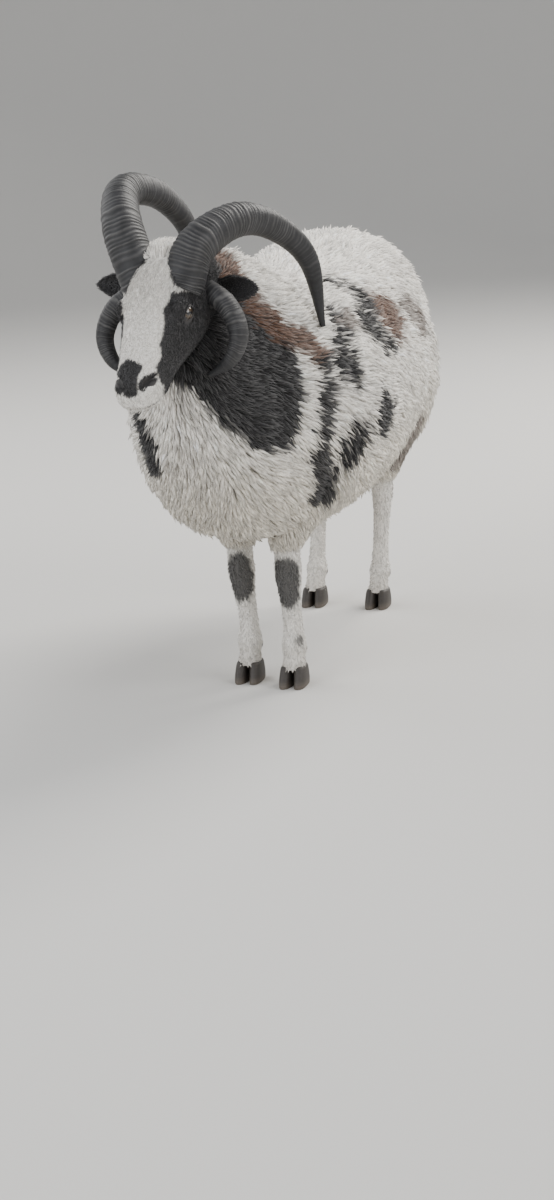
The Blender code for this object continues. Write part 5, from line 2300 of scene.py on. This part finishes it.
@dataclass
class Hooves:
    """Cloven hooves, each of two claws with these sections: height, half width, toe and heel."""

    half_gap: float = 0.0012
    turn_out: float = 2.0
    sections: tuple[tuple[float, float, float, float], ...] = (
        (0.0000, 0.0105, 0.0375, 0.0225), (0.0030, 0.0110, 0.0380, 0.0235), (0.0120, 0.0112, 0.0345, 0.0240),
        (0.0240, 0.0108, 0.0285, 0.0235), (0.0330, 0.0100, 0.0235, 0.0215), (0.0355, 0.0080, 0.0200, 0.0185),
    )

    def build(self, corner: str) -> Piece:
        """Makes one hoof of two claws joined at the heel.

        Args:
            corner: Which leg.

        Returns:
            The finished hoof.
        """
        x, y = FOOT[corner]
        claws = []
        for side in Side:
            rows = []
            for height, half, toe, heel in self.sections:
                left = x + (half + self.half_gap) * side.value
                rows.append((left, y, height, 90.0, self.turn_out * side.value, half, toe, heel, 0.0))
            claws.append(Loft(rows, 2.5).mesh(28, 28))
        hoof = joined(claws, f"hoof_claws_{corner}")
        heel = bmesh.new()
        place = Matrix.Translation((x, y + 0.010, 0.020)) @ Matrix.Diagonal((0.010, 0.011, 0.012, 1.0))
        bmesh.ops.create_uvsphere(heel, u_segments=24, v_segments=16, radius=1.0, matrix=place)
        bulb = add_object(heel, "heel_bulb")
        hoof = combine(bulb, "UNION", self.separate(hoof))
        hoof.name = f"hoof_claws_{corner}"
        points = vertex_array(hoof.data)
        low = smooth_step(0.016, 0.0, points[:, 2])[:, None]
        finish = HoofFinish()
        colours = np.array(finish.horn) * (1 - low) + np.array(finish.soil) * low
        colours = colours * (1.0 + 0.3 * np.sin(points[:, 2] * 1400.0)[:, None] * 0.4)
        paint(hoof.data, colours)
        hoof.data.shade_smooth()
        return hoof

    @staticmethod
    def separate(item: Piece) -> list[Piece]:
        """Splits a mesh of two claws into one object each.

        Args:
            item: The object, which is used up.

        Returns:
            The two claws.
        """
        halves = []
        middle = vertex_array(item.data)[:, 0].mean()
        for sign in (1, -1):
            bm = bmesh.new()
            bm.from_mesh(item.data)
            gone = [vert for vert in bm.verts if (vert.co.x - middle) * sign < 0]
            bmesh.ops.delete(bm, geom=gone, context="VERTS")
            halves.append(add_object(bm, "claw"))
        drop(item)
        return halves


@dataclass
class Studio:
    """Pale floor, soft light and the camera; a lamp has a name, a place, a size, a power and a colour."""

    camera_place: Triple = (1.03959, -3.65848, 0.99857)
    camera_right: Triple = (0.96031, 0.27273, -0.05856)
    camera_up: Triple = (-0.00963, 0.24222, 0.97017)
    camera_forward: Triple = (-0.27878, 0.93110, -0.23523)
    lens: float = 63.81
    lamps: tuple[tuple[object, ...], ...] = (
        ("back_key", (1.6, 3.4, 3.6), 2.6, 300.0, (1.0, 0.97, 0.92)),
        ("front_fill", (-2.4, -4.2, 2.8), 3.5, 150.0, (0.95, 0.97, 1.0)),
        ("left_fill", (4.0, -1.2, 2.4), 3.0, 110.0, (1.0, 1.0, 1.0)),
        ("right_fill", (-3.8, 1.2, 2.6), 3.0, 90.0, (1.0, 1.0, 1.0)),
    )
    sky: tuple[float, ...] = (0.90, 0.92, 0.95, 1.0)
    sky_strength: float = 0.65

    def build(self, shift: Vector) -> None:
        """Makes the floor, the lights and the camera.

        Args:
            shift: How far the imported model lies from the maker's frame.
        """
        floor = self.sweep()
        floor.data.materials.append(FloorFinish().make())
        for lamp in self.lamps:
            self.light(*lamp)
        world = bpy.data.worlds.new("studio")
        world.use_nodes = True
        world.node_tree.nodes["Background"].inputs["Color"].default_value = self.sky
        world.node_tree.nodes["Background"].inputs["Strength"].default_value = self.sky_strength
        bpy.context.scene.world = world
        self.camera(shift)

    @staticmethod
    def sweep() -> Piece:
        """A pale floor that curves up into a round wall on every side.

        Returns:
            The floor.
        """
        bm = bmesh.new()
        radius, flat = 3.0, 7.0
        profile = [(0.0, 0.0), (flat, 0.0)]
        for step in range(1, 17):
            turn = math.radians(90.0 * step / 16)
            profile.append((flat + radius * math.sin(turn), radius * (1.0 - math.cos(turn))))
        profile.append((flat + radius, 7.0))
        verts = [bm.verts.new((x, 0.0, z)) for x, z in profile]
        edges = [bm.edges.new(pair) for pair in zip(verts, verts[1:])]
        bmesh.ops.spin(
            bm,
            geom=verts + edges,
            cent=(0.0, 0.0, 0.0),
            axis=(0.0, 0.0, 1.0),
            angle=2.0 * math.pi,
            steps=96,
            use_merge=True,
        )
        bmesh.ops.remove_doubles(bm, verts=bm.verts, dist=1e-5)
        bmesh.ops.recalc_face_normals(bm, faces=bm.faces)
        floor = add_object(bm, "floor")
        floor.data.shade_smooth()
        return floor

    @staticmethod
    def light(name: str, place: Triple, size: float, power: float, colour: Triple) -> None:
        """A square soft light that faces the ram.

        Args:
            name: The name to give it.
            place: Where it stands.
            size: Its side.
            power: How bright it is.
            colour: Its colour.
        """
        lamp = bpy.data.lights.new(name, "AREA")
        lamp.size = size
        lamp.energy = power
        lamp.color = colour
        item = bpy.data.objects.new(name, lamp)
        bpy.context.scene.collection.objects.link(item)
        item.location = place
        away = Vector(place) - Vector((0.0, 0.0, 0.45))
        item.rotation_euler = away.to_track_quat("Z", "Y").to_euler()

    def camera(self, shift: Vector) -> None:
        """The camera at the fitted place, angle and lens.

        Args:
            shift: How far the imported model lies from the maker's frame.
        """
        data = bpy.data.cameras.new("camera")
        data.sensor_width = 36.0
        data.lens = self.lens
        data.clip_end = 200.0
        item = bpy.data.objects.new("camera", data)
        bpy.context.scene.collection.objects.link(item)
        right, up = Vector(self.camera_right), Vector(self.camera_up)
        back = -Vector(self.camera_forward)
        turn = Matrix((right, up, back)).transposed().to_4x4()
        item.matrix_world = Matrix.Translation(Vector(self.camera_place) + shift) @ turn
        bpy.context.scene.camera = item


class Ram:
    """The whole dressed ram."""

    flesh = (
        "torso", "neck", "tail", "head", "ear_left", "ear_right", "leg_front_left", "leg_front_right",
        "leg_hind_left", "leg_hind_right", "scrotum",
    )

    def __init__(self) -> None:
        """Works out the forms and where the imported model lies."""
        self.body = Body()
        self.head = HeadForm()
        self.markings = Markings(self.head)
        self.shift = self.find_shift()

    def find_shift(self) -> Vector:
        """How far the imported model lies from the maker's frame.

        Returns:
            The shift.
        """
        low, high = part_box("eye_left")
        middle = (Vector(low) + Vector(high)) * 0.5
        return middle - self.head.place @ Vector(EYE_PLACE)

    def settle_piece(
        self, item: Piece, material: bpy.types.Material, nodes: Sequence[str] = ()
    ) -> None:
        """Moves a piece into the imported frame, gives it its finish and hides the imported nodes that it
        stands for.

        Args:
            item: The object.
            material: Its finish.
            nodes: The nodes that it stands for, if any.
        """
        item.data.transform(Matrix.Translation(self.shift))
        item.data.materials.clear()
        item.data.materials.append(material)
        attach(item, "root")
        if nodes:
            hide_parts(*nodes)
        LOG.info("%s: %d faces", item.name, len(item.data.polygons))

    def build(self) -> None:
        """Makes every piece in order."""
        skin = Skin(self.body, self.head, self.markings).build()
        short = ShortCoat(self.body, self.head, self.markings, skin)
        hair_finish = ShortHairFinish().make()
        for piece in short.leg_hair():
            self.settle_piece(piece, hair_finish)
        for piece in short.face_hair():
            self.settle_piece(piece, hair_finish)
        for piece in short.ear_hair():
            self.settle_piece(piece, hair_finish)
        wool = WoolFinish().make()
        for piece in Fleece(self.body, self.head, self.markings).build(skin):
            self.settle_piece(piece, wool)
        self.settle_piece(skin, ShortHairFinish("skin_with_short_hair").make(), self.flesh)
        horn_finish = HornFinish().make()
        for horn, node in Horns().build(self.head):
            self.settle_piece(horn, horn_finish, (node,))
        eye_finish = EyeFinish().make()
        for side in Side:
            self.settle_piece(Eyes().build(side, self.head), eye_finish, (f"eye_{side.word}",))
        hoof_finish = HoofFinish().make()
        for corner in FOOT:
            self.settle_piece(Hooves().build(corner), hoof_finish, (f"hoof_{corner}",))


def main() -> None:
    """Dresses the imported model."""
    logging.basicConfig(level=logging.INFO, format="%(message)s")
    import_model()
    ram = Ram()
    ram.build()
    Studio().build(ram.shift)


if __name__ == "__main__":
    main()
